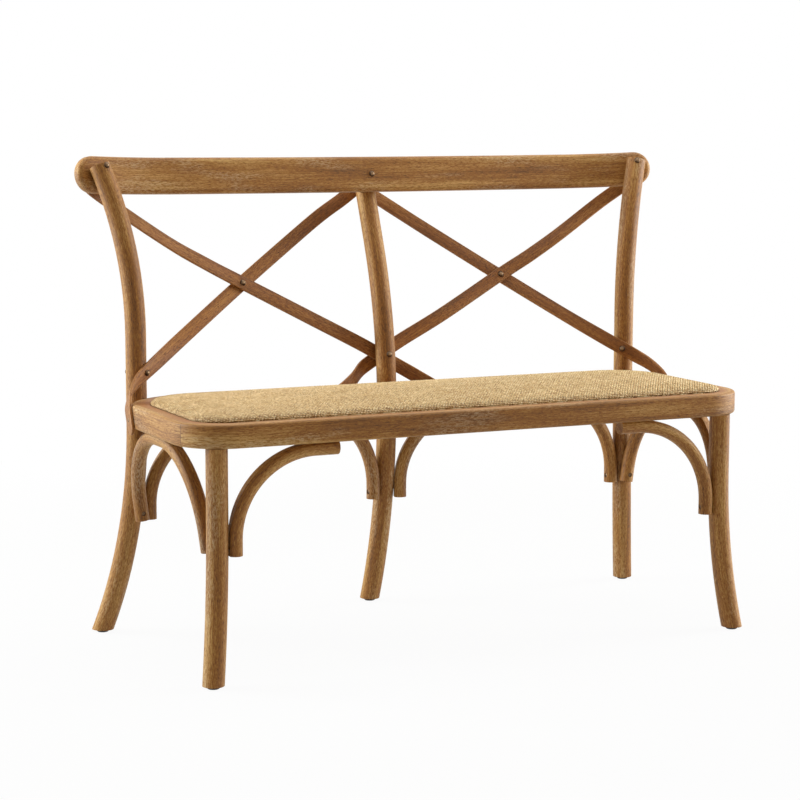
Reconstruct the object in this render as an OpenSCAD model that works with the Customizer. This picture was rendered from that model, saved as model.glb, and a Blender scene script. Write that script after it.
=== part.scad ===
// Two-seat bench with a crossed-strap back, a bent-wood seat frame and a woven rattan panel.
// Lengths are in millimetres. X runs along the bench, Y to its back, Z up from the floor.
// The layout is drawn with Y = 0 at the axes of the front legs and then centred front to back.

/* [Seat frame] */
// Width of the seat frame over its sides
seat_w = 1113; // [1000:1:1300]
// Depth of the seat frame from front edge to rear edge
seat_d = 418; // [380:1:460]
// Height of the top of the seat frame
seat_z = 446; // [436:1:460]
// Thickness of the seat frame
seat_t = 41; // [38:1:44]
// Width of the bent bar of the seat frame, seen from above
seat_bar_w = 58; // [54:1:66]
// Outer radius of the front corners
front_corner_r = 89; // [76:1:100]
// Outer radius of the rear corners
rear_corner_r = 136; // [124:1:148]
// Rounding of the outer arrises of the seat frame
seat_arris_r = 5; // [3:0.5:10]

/* [Rattan panel] */
// Border of the frame left bare at each side of the panel
border_side = 30; // [26:1:34]
// Border of the frame left bare in front of the panel
border_front = 25; // [22:1:28]
// Border of the frame left bare behind the panel
border_rear = 44; // [38:1:48]
// Corner radius of the panel at the front
panel_front_r = 62; // [54:1:70]
// Corner radius of the panel at the rear
panel_rear_r = 100; // [88:1:112]
// Depth of the rebate that holds the board under the weave
rebate_t = 12; // [9:0.5:14]
// Height of the rim of the weave above the frame
panel_rise = 9; // [6:0.5:12]
// Extra height of the weave in the middle of the panel
panel_crown = 6; // [3:0.5:12]

/* [Legs and posts] */
// Diameter of the legs and posts
leg_d = 38; // [36:0.5:40]
// Distance from the side of the frame in to the axis of a front leg
front_leg_inset = 57; // [54:0.5:60]
// Distance from the front edge back to the axis of a front leg
front_leg_set = 25.6; // [24:0.2:28]
// Height at which the front legs start to bend out
front_bend_z = 289; // [240:1:310]
// Distance that a front foot stands out from its axis
front_splay = 33; // [20:1:45]
// Direction of the front splay, measured from straight forward
front_splay_dir = 36.4; // [20:0.2:50]
// Direction from a rear corner's centre to its end post, measured from straight back
corner_post_dir = 38.1; // [36:0.1:42]
// Depth that an end post and the corner of the frame are let into each other
corner_let = 3; // [2:0.2:5]
// Height at which the rear posts start to bend out to the foot, and the middle one to lean back
rear_bend_z = 400; // [380:1:404]
// Distance that the foot of an end post stands out from its axis
end_splay = 88.4; // [70:0.2:100]
// Direction of that splay, measured from straight back
end_splay_dir = 34.3; // [26:0.1:42]
// Height at which the end posts start to rake
end_rake_z = 560; // [545:1:575]
// Distance that the top of an end post rakes out
end_rake = 66.2; // [62:0.2:70]
// Direction of the rake, measured from straight back
end_rake_dir = 49; // [45:0.5:53]
// Height of the top of the end posts
end_post_top = 867; // [862:1:872]
// Depth of the notch in the middle post that takes the rear edge
middle_let = 9.9; // [7:0.1:11]
// Distance that the foot of the middle post stands back
middle_splay = 82; // [65:1:95]
// Radius of the upper bend of the middle post
middle_bend_r = 830; // [780:10:880]
// Lean of the middle post above its bend
middle_lean = 22; // [20:0.5:23]
// Height of the tenon on top of each front leg
tenon_h = 26; // [18:1:28]
// Diameter of the tenon
tenon_d = 24; // [18:1:25]
// Diameter of the glide under each foot
glide_d = 24; // [16:1:28]
// Height of the glide
glide_h = 5; // [3:0.5:8]

/* [Crest rail] */
// Length of the crest rail between the tips of its rounded ends, measured straight
rail_w = 1211; // [1190:1:1240]
// Height of the section of the rail
rail_h = 68; // [62:1:74]
// Thickness of the rail
rail_t = 24; // [22:0.5:26]
// Rounding of the edges of the rail
rail_edge_r = 9; // [5:0.5:9.5]
// Height of the middle of the rail
rail_z = 843; // [838:1:848]
// Backward tilt of the rail
rail_tilt = 9; // [6:0.5:12]
// Radius of the long flat bend of the rail
rail_long_r = 8400; // [8000:100:9000]
// Half the length of the flat bend
rail_long_half = 420; // [400:1:440]
// Radius of the tighter bends near the ends
rail_end_r = 555; // [520:5:600]

/* [Back straps] */
// Width of a strap
strap_w = 26.5; // [24:0.5:29]
// Thickness of a strap
strap_t = 5; // [4:0.5:6]
// Height at which the front straps cross behind the middle post
low_cross_z = 495; // [488:1:502]
// Height at which the rear straps cross behind the middle post
high_cross_z = 822; // [816:1:826]
// Height at which a front strap reaches the back of the rail
strap_top_z = 822; // [814:1:826]
// Distance from the middle of the bench to the lower end of a front strap
strap_low_x = 128; // [115:1:145]
// Depth of that end below the top of the seat frame
strap_low_drop = 29; // [26:1:32]
// Distance of the upper end of a front strap from the end of the rail
strap_tip_in = 24; // [20:1:28]
// Length along the rail that this end lies against it
strap_tip_run = 16.9; // [15:0.1:28]
// Rise of the strap over that length
strap_tip_rise = 19; // [16:1:24]
// Height at which a rear strap is riveted to the end post
post_rivet_z = 493; // [488:1:498]
// Backward lean of the straps where they cross
strap_lean = 23; // [21:0.5:25]
// Distance that the crossing of a bay lies outside the meeting of the two chords
cross_shift = 11; // [8:1:14]
// Distance that a rear strap bows back from its chord at the crossing
rear_bow = 25; // [22:0.5:28]

/* [Brackets and hoops] */
// Width of the section of a bent bracket
arm_w = 26; // [23:0.5:28]
// Depth of the section, from its flat face to its rounded face
arm_t = 24; // [20:0.5:26]
// Radius of the flat outer face of the bends
arm_r = 159; // [152:1:164]
// Length of the straight foot of a bracket
foot_l = 26.4; // [24:0.2:32]
// Length of the straight tail of a bracket
tail_l = 41; // [36:1:48]
// Turn of the end post brackets towards the front
end_bracket_turn = 9; // [7:0.5:11]
// Turn of the middle post brackets towards the front
middle_bracket_turn = 17; // [14:0.5:18]
// Distance that the front brackets sit in front of the leg axes
front_bracket_shift = 4; // [1:0.5:6]
// Outward tilt of the side hoops
hoop_tilt = 7.8; // [6:0.2:9]
// Outward offset of the front foot of a hoop from the leg axis
hoop_front_shift = 8.5; // [6:0.5:10]
// Inward offset of the rear foot of a hoop from the post axis
hoop_rear_shift = 3; // [1:0.5:6]

/* [Fasteners] */
// Diameter of a rivet head
rivet_head_d = 12; // [10:0.5:13]
// Height of a rivet head
rivet_head_h = 4; // [3:0.5:5]
// Diameter of a rivet shank
rivet_d = 5; // [4:0.5:6]
// Diameter of a screw head
screw_head_d = 8; // [7:0.2:9]
// Height of a screw head
screw_head_h = 2.4; // [1.6:0.2:3]
// Diameter of a screw shank
screw_d = 4; // [3:0.5:5]
// Length that a screw reaches into the wood behind a bracket or strap
screw_bite = 15; // [12:0.5:16]
// Distance of the bracket screws from the lower end of the foot
foot_screw_up = 14; // [12:0.5:18]
// Length that a seat bolt reaches into the frame
bolt_bite = 36; // [28:1:42]
// Height of the seat bolts
bolt_z = 420; // [416:1:424]
// Clearance between pieces that fit into or pass through each other
fit = 0.3; // [0.2:0.05:0.4]

/* [Hidden] */
leg_r = leg_d / 2;
seat_under = seat_z - seat_t;
seat_half = seat_w / 2;
seat_front_y = -front_leg_set;
seat_rear_y = seat_front_y + seat_d;
front_leg_x = seat_half - front_leg_inset;
middle_post_y = seat_rear_y + leg_r - middle_let;
corner_at = [seat_half - rear_corner_r, seat_rear_y - rear_corner_r];
end_post_away = rear_corner_r + leg_r - corner_let;
end_post_base = corner_at + end_post_away * flat_dir(corner_post_dir);
bend_fn = 360;
long_bend_fn = 1440;
round_fn = 64;
small_fn = 32;
over = 1;
foot_over = 12;
// Step or lap where a straight and a bend of one piece meet at an angle
seam = 0.1;
reach = 2000;

// A bend that leaves a straight line and stands off by s after the height h
function bend_radius(h, s) = (h * h + s * s) / (2 * s);
function bend_offset(r, h) = r - sqrt(r * r - h * h);
// Plan direction that is turned outward by an angle from straight back
function flat_dir(angle) = [sin(angle), cos(angle)];
function unit(v) = v / norm(v);

front_splay_r = bend_radius(front_bend_z, front_splay);
end_splay_r = bend_radius(rear_bend_z, end_splay);
end_rake_h = end_post_top - end_rake_z;
end_rake_r = bend_radius(end_rake_h, end_rake);
middle_splay_r = bend_radius(rear_bend_z, middle_splay);
middle_straight_z = rear_bend_z + middle_bend_r * sin(middle_lean);
middle_straight_y = middle_post_y + middle_bend_r * (1 - cos(middle_lean));

// Axis of the right end post, in plan, at the height z
function end_post_at(z) =
    let (low = z < rear_bend_z ? bend_offset(end_splay_r, rear_bend_z - z) : 0)
    let (high = z > end_rake_z ? bend_offset(end_rake_r, z - end_rake_z) : 0)
    end_post_base + low * flat_dir(end_splay_dir) + high * flat_dir(end_rake_dir);

// Distance of the axis of the middle post from the front leg axes, at the height z
function middle_post_at(z) =
    z < rear_bend_z ? middle_post_y + bend_offset(middle_splay_r, rear_bend_z - z)
    : z < middle_straight_z ? middle_post_y + bend_offset(middle_bend_r, z - rear_bend_z)
    : middle_straight_y + (z - middle_straight_z) * tan(middle_lean);
post_reach = leg_r / cos(middle_lean);

// Crest rail: a long flat bend with a tighter bend at each end, tilted back as one piece
rail_y = middle_post_at(rail_z) - post_reach - rail_t / 2 / cos(rail_tilt) - fit;
rail_long_angle = asin(rail_long_half / rail_long_r);
rail_end_slant = 19;
rail_end_sweep = rail_w / 2 - rail_edge_r - (rail_h / 2 - rail_edge_r) * cos(rail_end_slant)
    - (rail_t / 2 - rail_edge_r) * sin(rail_end_slant);
rail_end_angle = rail_turn(rail_end_sweep);
function rail_turn(x) = x < rail_long_half ? asin(x / rail_long_r)
    : asin(sin(rail_long_angle) + (x - rail_long_half) / rail_end_r);
function rail_sag(x) = x < rail_long_half ? rail_long_r * (1 - cos(rail_turn(x)))
    : rail_long_r * (1 - cos(rail_long_angle)) + rail_end_r * (cos(rail_long_angle) - cos(rail_turn(x)));
// Back face of the rail at the distance x from its middle and the height z
function rail_back(x, z) =
    rail_y - rail_sag(x) * cos(rail_tilt) + rail_t / 2 / cos(rail_turn(x))
    + (z - rail_z - rail_sag(x) * sin(rail_tilt)) * tan(rail_tilt);

// Straps: each bay has a front strap and a rear strap that follow two bowed chords
layer = strap_t + 3 * fit;
low_back_y = middle_post_at(low_cross_z) + leg_r + fit;
high_back_y = middle_post_at(high_cross_z) + post_reach + fit;
strap_side = 32;
strap_tip_x = rail_w / 2 - strap_tip_in;
strap_tip_z = strap_top_z + strap_tip_rise;
strap_out_x = strap_tip_x - strap_tip_run;
post_front = end_post_base - (leg_r + fit + strap_t) * flat_dir(strap_side);
chord_low = [0, low_back_y + layer / 2, low_cross_z];
chord_out = [strap_out_x, rail_back(strap_out_x, strap_top_z) + 1, strap_top_z];
chord_high = [0, high_back_y + layer / 2, high_cross_z];
chord_post = [post_front[0], post_front[1], post_rivet_z];
front_climb = (chord_out[2] - chord_low[2]) / chord_out[0];
rear_drop = (chord_high[2] - chord_post[2]) / chord_post[0];
cross_x = (chord_high[2] - chord_low[2]) / (front_climb + rear_drop) + cross_shift;
cross_rear = chord_high + cross_x / chord_post[0] * (chord_post - chord_high) + [0, rear_bow, 0];
front_before = bowed(chord_low, chord_out, 0.25, 1, -5);
front_after = bowed(chord_low, chord_out, 0.61, 13.5, -14);
cross_facing = -unit(cross([0, sin(strap_lean), cos(strap_lean)], front_after - front_before));
cross_front = cross_rear + (strap_t + 2 * fit) * cross_facing;

// A key is a point of the middle of a strap's front face, with the lean of its width
function key(p, lean) = [p[0], p[1], p[2], lean];
function bowed(a, b, f, back, up) = a + f * (b - a) + [0, back, up];

// Front strap, from the rear edge of the seat past the middle post to the end of the rail
low_end = 0;
rail_tip = 12;
function front_strap_keys(lift) = [
    key([-strap_low_x, seat_rear_y + fit + 0.2, seat_z - strap_low_drop], 0),
    key([30 - strap_low_x, seat_rear_y + 2.2, seat_z - strap_low_drop + 16.5], 0),
    key([60 - strap_low_x, seat_rear_y + 13, seat_z - strap_low_drop + 35], 3),
    key([92 - strap_low_x, chord_low[1] + lift - 3, low_cross_z - 22], 6),
    key(chord_low + [0, lift, 0], 8),
    key(bowed(chord_low, chord_out, 0.08, 1.7 + 1.25 * lift, 0), 12),
    key(front_before, 17),
    key(cross_front, strap_lean),
    key(front_after, 29),
    key(bowed(chord_low, chord_out, 0.73, 17, -14), 34),
    key(bowed(chord_low, chord_out, 0.9, 14, -6), 30),
    key(chord_out, 16),
    key([strap_tip_x, rail_back(strap_tip_x, strap_tip_z) + 1, strap_tip_z], 10)
];

// Rear strap, from the back of the middle post past the end post to the side of the seat
tail_key = 14;
// Distance that the upper end of a rear strap stands back, and what its rounding adds to that
tip_back = 9;
tip_round = 1.9;
function rear_strap_keys(lift) = [
    key([-24, chord_high[1] + tip_back + 2.4 * lift, high_cross_z + 15.5], middle_lean),
    key(chord_high + [0, lift, 0], middle_lean),
    key(bowed(chord_high, chord_post, 0.08, 9.5 + 1.8 * lift, 0), middle_lean),
    key(bowed(chord_high, chord_post, 0.17, 20, 0), strap_lean),
    key(bowed(chord_high, chord_post, 0.3, 24.5, 0), strap_lean),
    key(cross_rear, strap_lean),
    key(bowed(chord_high, chord_post, 0.8, 16.5, 0), 24),
    key(bowed(chord_high, chord_post, 0.93, 7, 0), 14),
    key(chord_post, 0),
    key(chord_post + [12.5, -7.5, -8.5], -5),
    key(chord_post + [24, -16.5, -17], -15),
    key([seat_half - 20, chord_post[1] - 29, seat_z + 21], -30),
    key([seat_half - 10, chord_post[1] - 44, seat_z + 10], -50),
    key([seat_half - 2, chord_post[1] - 62, seat_z - 5], -72),
    key([seat_half + fit, chord_post[1] - 76, bolt_z], -88),
    key([seat_half + fit, chord_post[1] - 83, seat_under + 2], -90)
];

// Smooth curve through the keys, with equal steps between each two of them
function blend(a, b, c, d, f) =
    (2 * b + f * (c - a) + f * f * (2 * a - 5 * b + 4 * c - d) + f * f * f * (3 * b - a - 3 * c + d)) / 2;
strap_steps = 3;
function smooth(keys) = let (last = len(keys) - 1) [
    for (i = [0 : last - 1], s = [0 : strap_steps - 1])
        blend(keys[max(i - 1, 0)], keys[i], keys[i + 1], keys[min(i + 2, last)], s / strap_steps),
    keys[last]
];
function point_of(path, i) = [path[i][0], path[i][1], path[i][2]];
function heading(path, i) =
    unit(point_of(path, min(i + 1, len(path) - 1)) - point_of(path, max(i - 1, 0)));
// Width vector of the section, square to the heading and leaning back
function across(path, i) =
    let (t = heading(path, i), u = [0, sin(path[i][3]), cos(path[i][3])]) unit(u - (u * t) * t);
function backing(path, i) = cross(across(path, i), heading(path, i));
// Corners of the section, moved along the heading and narrowed towards a rounded tip
function section(path, i, ahead, f) =
    let (w = across(path, i) * strap_w / 2 * f, n = backing(path, i) * strap_t)
    let (p = point_of(path, i) + ahead * strap_w / 2 * heading(path, i))
    [p + w, p - w, p - w + n, p + w + n];
tip_turns = [75, 60, 40, 20];
function strap_sections(path) = let (last = len(path) - 1) concat(
    [for (a = tip_turns) section(path, 0, -sin(a), cos(a))],
    [for (i = [0 : last]) section(path, i, 0, 1)],
    [for (i = [len(tip_turns) - 1 : -1 : 0]) section(path, last, sin(tip_turns[i]), cos(tip_turns[i]))]
);

// Solid through a list of closed sections that all have the same number of corners
module loft(sections) {
    n = len(sections[0]);
    end = (len(sections) - 1) * n;
    sides = [for (i = [0 : len(sections) - 2], j = [0 : n - 1]) let (k = (j + 1) % n)
        each [[i * n + j, (i + 1) * n + k, i * n + k], [i * n + j, (i + 1) * n + j, (i + 1) * n + k]]];
    caps = [for (j = [1 : n - 2]) each [[0, j, j + 1], [end, end + j + 1, end + j]]];
    polyhedron([for (s = sections) each s], concat(sides, caps));
}

// Turns children so that their Z axis points along a direction
module aim(v) rotate([0, acos(v[2]), atan2(v[1], v[0])]) children();
module placed() translate([0, -(front_extent + back_extent) / 2, 0]) children();
module on_side(side) mirror([side < 0 ? 1 : 0, 0, 0]) children();
front_extent = -(front_splay * cos(front_splay_dir) + leg_r);
back_extent = chord_high[1] + tip_back + 1.2 * layer + tip_round
    + strap_t * cos(middle_lean) + strap_w / 2 * sin(middle_lean);

// Round rods: a straight rises from the origin, a bend rises along Z and leans towards X
module rod(l) translate([0, 0, -over]) cylinder(d = leg_d - 2 * seam, h = l + over, $fn = round_fn);
module rod_bend(r, angle)
    translate([r, 0, 0]) mirror([1, 0, 0]) rotate([90, 0, 0])
        rotate_extrude(angle = angle, $fn = bend_fn) translate([r, 0]) circle(d = leg_d, $fn = round_fn);
module rod_foot(r, h, turn)
    rotate([0, 0, turn]) mirror([0, 0, 1]) rod_bend(r, asin((h + foot_over) / r));
module below_feet() translate([-reach / 2, -reach / 2, glide_h - reach]) cube(reach);
module glide_site(p) translate([p[0], p[1], glide_h]) children();
module glide_pin_hole() cylinder(d = screw_d + 2 * fit, h = screw_bite + fit, $fn = small_fn);

front_foot = [front_leg_x + bend_offset(front_splay_r, front_bend_z - glide_h) * sin(front_splay_dir),
    -bend_offset(front_splay_r, front_bend_z - glide_h) * cos(front_splay_dir)];
end_foot = end_post_at(glide_h);
middle_foot = [0, middle_post_at(glide_h)];

// Fasteners, each with its head facing Z and its base at the origin
module dome() {
    ball_r = (rivet_head_d * rivet_head_d / 4 + rivet_head_h * rivet_head_h) / (2 * rivet_head_h);
    intersection() {
        translate([0, 0, rivet_head_h - ball_r]) sphere(r = ball_r, $fn = round_fn);
        cylinder(d = rivet_head_d + over, h = rivet_head_h + over, $fn = round_fn);
    }
}
module shank(l) translate([0, 0, -l]) cylinder(d = rivet_d, h = l, $fn = small_fn);
module stud(l) { dome(); shank(l); }
module rivet(l) { stud(l); translate([0, 0, -l]) rotate([180, 0, 0]) dome(); }
module stud_hole(l) translate([0, 0, -l - fit])
    cylinder(d = rivet_d + 2 * fit, h = l + rivet_head_h, $fn = small_fn);
module screw(l) {
    translate([0, 0, -screw_head_h]) cylinder(d = screw_head_d, h = screw_head_h, $fn = small_fn);
    translate([0, 0, -l]) cylinder(d = screw_d, h = l - screw_head_h, $fn = small_fn);
}
module screw_hole(l) {
    translate([0, 0, -screw_head_h]) cylinder(d = screw_head_d + 2 * fit, h = arm_w, $fn = small_fn);
    translate([0, 0, -l - fit]) cylinder(d = screw_d + 2 * fit, h = l, $fn = small_fn);
}
arm_screw_l = arm_t + screw_bite;
strap_screw_l = strap_t + fit + screw_bite;

// Rivet and bolt sites on the right, each a place, the way its head faces and its length
crest_stud_drop = 6;
crest_axis_z = end_post_top - crest_stud_drop;
rake_angle = asin((crest_axis_z - end_rake_z) / end_rake_r);
rake_flat = flat_dir(end_rake_dir);
rake_along = [rake_flat[0] * sin(rake_angle), rake_flat[1] * sin(rake_angle), cos(rake_angle)];
crest_side = 26;
crest_level = [-sin(crest_side), -cos(crest_side), 0];
crest_facing = unit(crest_level - (crest_level * rake_along) * rake_along);
crest_axis = [end_post_at(crest_axis_z)[0], end_post_at(crest_axis_z)[1], crest_axis_z];
crest_stud_l = leg_d + rail_t / 2;
module crest_stud_site() translate(crest_axis + leg_r * crest_facing) aim(crest_facing) children();

rail_facing = [0, -cos(rail_tilt), sin(rail_tilt)];
rail_stud_l = rail_t + leg_r;
module rail_stud_site() translate([0, rail_y, rail_z] + rail_t / 2 * rail_facing) aim(rail_facing) children();

low_stud_z = low_cross_z + 4;
low_stud_tilt = asin((low_stud_z - rear_bend_z) / middle_bend_r);
low_facing = [0, -cos(low_stud_tilt), sin(low_stud_tilt)];
low_rivet_l = leg_d + 2 * layer + 3 * fit;
module low_rivet_site()
    translate([0, middle_post_at(low_stud_z), low_stud_z] + leg_r * low_facing) aim(low_facing) children();

cross_rivet_l = 2 * strap_t + 5 * fit;
module cross_rivet_site() translate(cross_front + fit * cross_facing) aim(cross_facing) children();

post_stud_side = 36;
post_facing = -flat_dir(post_stud_side);
post_rivet_slack = 0.5;
post_rivet_l = leg_d + 2 * fit + strap_t + post_rivet_slack;
module post_rivet_site()
    translate([end_post_base[0], end_post_base[1], post_rivet_z]
        + (leg_r + fit + strap_t + post_rivet_slack) * [post_facing[0], post_facing[1], 0])
        aim([post_facing[0], post_facing[1], 0]) children();

corner_facing = flat_dir(corner_post_dir);
corner_bolt_l = leg_d - corner_let / 2 + bolt_bite;
module corner_bolt_site()
    translate([end_post_base[0] + leg_r * corner_facing[0], end_post_base[1] + leg_r * corner_facing[1], bolt_z])
        aim([corner_facing[0], corner_facing[1], 0]) children();
middle_bolt_l = leg_d - middle_let + bolt_bite;
module middle_bolt_site() translate([0, middle_post_at(bolt_z) + leg_r, bolt_z]) aim([0, 1, 0]) children();

module strap_site(keys, k) {
    path = smooth(keys);
    i = k * strap_steps;
    translate(point_of(path, i) + strap_t * backing(path, i)) aim(backing(path, i)) children();
}
// The left straps are mirrored, and the lift sets which of two straps lies nearer the post
function lift_of(side) = side * layer / 2;
module front_end_site(side) strap_site(front_strap_keys(lift_of(side)), low_end) children();
module front_tip_site(side) strap_site(front_strap_keys(lift_of(side)), rail_tip) children();
module tail_site(side) strap_site(rear_strap_keys(lift_of(side)), tail_key) children();
high_screw_l = 2 * layer + screw_bite;
module high_screw_site()
    translate([0, high_back_y, high_cross_z] + 2 * layer * [0, cos(middle_lean), -sin(middle_lean)])
        aim([0, cos(middle_lean), -sin(middle_lean)]) children();

// Bent brackets: the flat of the foot is the plane X = 0 and the bend starts at Z = 0
arm_touch = 14;
arm_slack = bend_offset(arm_r, arm_touch);
arm_z = seat_under - arm_r;
arm_touch_z = arm_z + arm_touch;
module arm_section() intersection() {
    translate([-arm_t, -arm_w / 2]) square([arm_t, arm_w]);
    translate([arm_w / 2 - arm_t, 0]) circle(d = arm_w, $fn = round_fn);
}
module arm_straight(l) mirror([1, 0, 0]) linear_extrude(l) arm_section();
module arm(tail) {
    translate([0, 0, -foot_l]) arm_straight(foot_l);
    translate([arm_r, 0, 0]) rotate([90, 0, 0]) rotate([0, 0, 90])
        rotate_extrude(angle = 90, $fn = bend_fn) translate([arm_r, 0]) arm_section();
    translate([arm_r, 0, arm_r]) rotate([0, 90, 0]) arm_straight(tail);
}
module foot_screw_site() translate([arm_t - over, 0, foot_screw_up - foot_l]) rotate([0, 90, 0]) children();
module tail_screw_site(x) translate([x, 0, arm_r - arm_t + over]) rotate([180, 0, 0]) children();
module arm_screw_sites() {
    foot_screw_site() children();
    tail_screw_site(arm_r + tail_l / 2) children();
}
module bracket() difference() {
    arm(tail_l);
    arm_screw_sites() screw_hole(arm_screw_l);
}
module at_front_bracket()
    translate([front_leg_x - leg_r - fit, -front_bracket_shift, arm_z]) mirror([1, 0, 0]) children();
module at_end_bracket()
    translate([end_post_at(arm_touch_z)[0], end_post_at(arm_touch_z)[1], arm_z])
        rotate([0, 0, 180 + end_bracket_turn]) translate([leg_r + fit - arm_slack, 0, 0]) children();
module at_middle_bracket()
    translate([0, middle_post_at(arm_touch_z), arm_z])
        rotate([0, 0, -middle_bracket_turn]) translate([leg_r + fit - arm_slack, 0, 0]) children();

// Side hoops: one continuous piece from the front leg to the end post, planed flush with the frame
hoop_z = seat_under - arm_r * cos(hoop_tilt) + arm_w / 2 * sin(hoop_tilt);
hoop_front = [front_leg_x + hoop_front_shift, leg_r + fit];
hoop_rear = end_post_at(hoop_z + arm_touch) - [hoop_rear_shift, leg_r + fit - arm_slack];
hoop_span = norm(hoop_rear - hoop_front);
hoop_yaw = atan((hoop_rear[0] - hoop_front[0]) / (hoop_rear[1] - hoop_front[1]));
module at_hoop()
    translate([hoop_front[0], hoop_front[1], hoop_z])
        rotate([0, 0, 90 - hoop_yaw]) rotate([hoop_tilt, 0, 0]) children();
module hoop_screw_sites() {
    foot_screw_site() children();
    translate([hoop_span, 0, 0]) mirror([1, 0, 0]) foot_screw_site() children();
    tail_screw_site(hoop_span / 2) children();
}

// Colours as photographed
wood = [0.6, 0.42, 0.25];
frame_wood = [0.55, 0.38, 0.22];
strap_wood = [0.45, 0.28, 0.17];
board_wood = [0.7, 0.55, 0.38];
cane = [0.83, 0.7, 0.5];
bronze = [0.25, 0.2, 0.15];
nylon = [0.18, 0.15, 0.13];

// Seat frame: a bar bent round into a ring, with its outer arrises rounded
module seat_section() {
    inner = seat_bar_w - seat_arris_r;
    square([inner, seat_t]);
    translate([0, seat_arris_r]) square([seat_bar_w, seat_t - 2 * seat_arris_r]);
    for (y = [seat_arris_r, seat_t - seat_arris_r])
        translate([inner, y]) circle(r = seat_arris_r, $fn = round_fn);
}
module seat_bar(l) rotate([90, 0, 0]) linear_extrude(l) seat_section();
module seat_corner(r) rotate_extrude(angle = 90, $fn = bend_fn) translate([r - seat_bar_w, 0]) seat_section();
module seat_ring() translate([0, 0, seat_under]) {
    for (side = [-1, 1]) on_side(side) {
        translate([seat_half - seat_bar_w, corner_at[1], 0])
            seat_bar(corner_at[1] - seat_front_y - front_corner_r);
        translate([corner_at[0], corner_at[1], 0]) seat_corner(rear_corner_r);
        translate([seat_half - front_corner_r, seat_front_y + front_corner_r, 0])
            rotate([0, 0, -90]) seat_corner(front_corner_r);
    }
    translate([-corner_at[0], seat_rear_y - seat_bar_w, 0])
        rotate([0, 0, 90]) seat_bar(2 * corner_at[0]);
    translate([seat_half - front_corner_r, seat_front_y + seat_bar_w, 0])
        rotate([0, 0, -90]) seat_bar(seat_w - 2 * front_corner_r);
}

// Outline of the panel in plan, grown on all sides by a clearance
module panel_outline(grow) {
    x = seat_half - border_side + grow;
    front = seat_front_y + border_front - grow;
    rear = seat_rear_y - border_rear + grow;
    front_r = panel_front_r + grow;
    rear_r = panel_rear_r + grow;
    translate([-x, front + front_r]) square([2 * x, rear - rear_r - front - front_r]);
    translate([front_r - x, front]) square([2 * (x - front_r), front_r + over]);
    translate([rear_r - x, rear - rear_r - over]) square([2 * (x - rear_r), rear_r + over]);
    for (side = [-1, 1]) {
        translate([side * (x - front_r), front + front_r]) circle(r = front_r, $fn = bend_fn);
        translate([side * (x - rear_r), rear - rear_r]) circle(r = rear_r, $fn = bend_fn);
    }
}

module tenon_at(side) on_side(side) translate([front_leg_x, 0, seat_under]) children();

module seat_frame() color(frame_wood) placed() difference() {
    seat_ring();
    translate([0, 0, seat_z - rebate_t]) linear_extrude(seat_t) panel_outline(fit);
    for (side = [-1, 1]) on_side(side) {
        translate([corner_at[0], corner_at[1], 0]) rotate([0, 0, 90 - corner_post_dir])
            translate([end_post_away - leg_r + corner_let / 2, -leg_d, 0]) cube([leg_d, 2 * leg_d, reach]);
        translate([front_leg_x, 0, seat_under - over])
            cylinder(d = tenon_d + 2 * fit, h = tenon_h + fit + over, $fn = round_fn);
        corner_bolt_site() stud_hole(corner_bolt_l);
        at_front_bracket() tail_screw_site(arm_r + tail_l / 2) screw_hole(arm_screw_l);
        at_end_bracket() tail_screw_site(arm_r + tail_l / 2) screw_hole(arm_screw_l);
        at_middle_bracket() tail_screw_site(arm_r + tail_l / 2) screw_hole(arm_screw_l);
        at_hoop() tail_screw_site(hoop_span / 2) screw_hole(arm_screw_l);
        tail_site(side) screw_hole(strap_screw_l);
        front_end_site(side) screw_hole(strap_screw_l);
    }
    middle_bolt_site() stud_hole(middle_bolt_l);
}

module seat_board() color(board_wood) placed()
    translate([0, 0, seat_z - rebate_t]) linear_extrude(rebate_t) panel_outline(0);

// Woven panel: rings of its outline that step in and up over a rounded rim to a low crown
weave_gap = 1.5;
weave_rim_r = 7;
weave_skirt = 1;
corner_steps = 8;
crown_in = 150;
function panel_ring(inset, z) =
    let (x = seat_half - border_side - inset, front = seat_front_y + border_front + inset)
    let (rear = seat_rear_y - border_rear - inset)
    let (front_r = max(panel_front_r - inset, 10), rear_r = max(panel_rear_r - inset, 10))
    [for (c = [[x - rear_r, rear - rear_r, rear_r, 0], [rear_r - x, rear - rear_r, rear_r, 90],
            [front_r - x, front + front_r, front_r, 180], [x - front_r, front + front_r, front_r, 270]],
        i = [0 : corner_steps]) let (a = c[3] + i * 90 / corner_steps)
        [c[0] + c[2] * cos(a), c[1] + c[2] * sin(a), z]];
rim_rings = [for (a = [0 : 22.5 : 90])
    panel_ring(weave_gap + weave_rim_r * (1 - cos(a)), seat_z + panel_rise - weave_rim_r * (1 - sin(a)))];
crown_rings = [for (f = [0.2 : 0.2 : 1])
    panel_ring(weave_gap + weave_rim_r + f * crown_in, seat_z + panel_rise + panel_crown * f * (2 - f))];
module rattan_panel() color(cane) placed()
    loft(concat([panel_ring(weave_gap, seat_z)], rim_rings, crown_rings));

module front_leg(side) color(wood) placed() on_side(side) difference() {
    translate([front_leg_x, 0, 0]) {
        translate([0, 0, seat_under]) cylinder(d = tenon_d, h = tenon_h, $fn = round_fn);
        translate([0, 0, front_bend_z]) rod(seat_under - front_bend_z);
        translate([0, 0, front_bend_z]) rod_foot(front_splay_r, front_bend_z, front_splay_dir - 90);
    }
    below_feet();
    glide_site(front_foot) glide_pin_hole();
    at_front_bracket() foot_screw_site() screw_hole(arm_screw_l);
    at_hoop() foot_screw_site() screw_hole(arm_screw_l);
}

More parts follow.
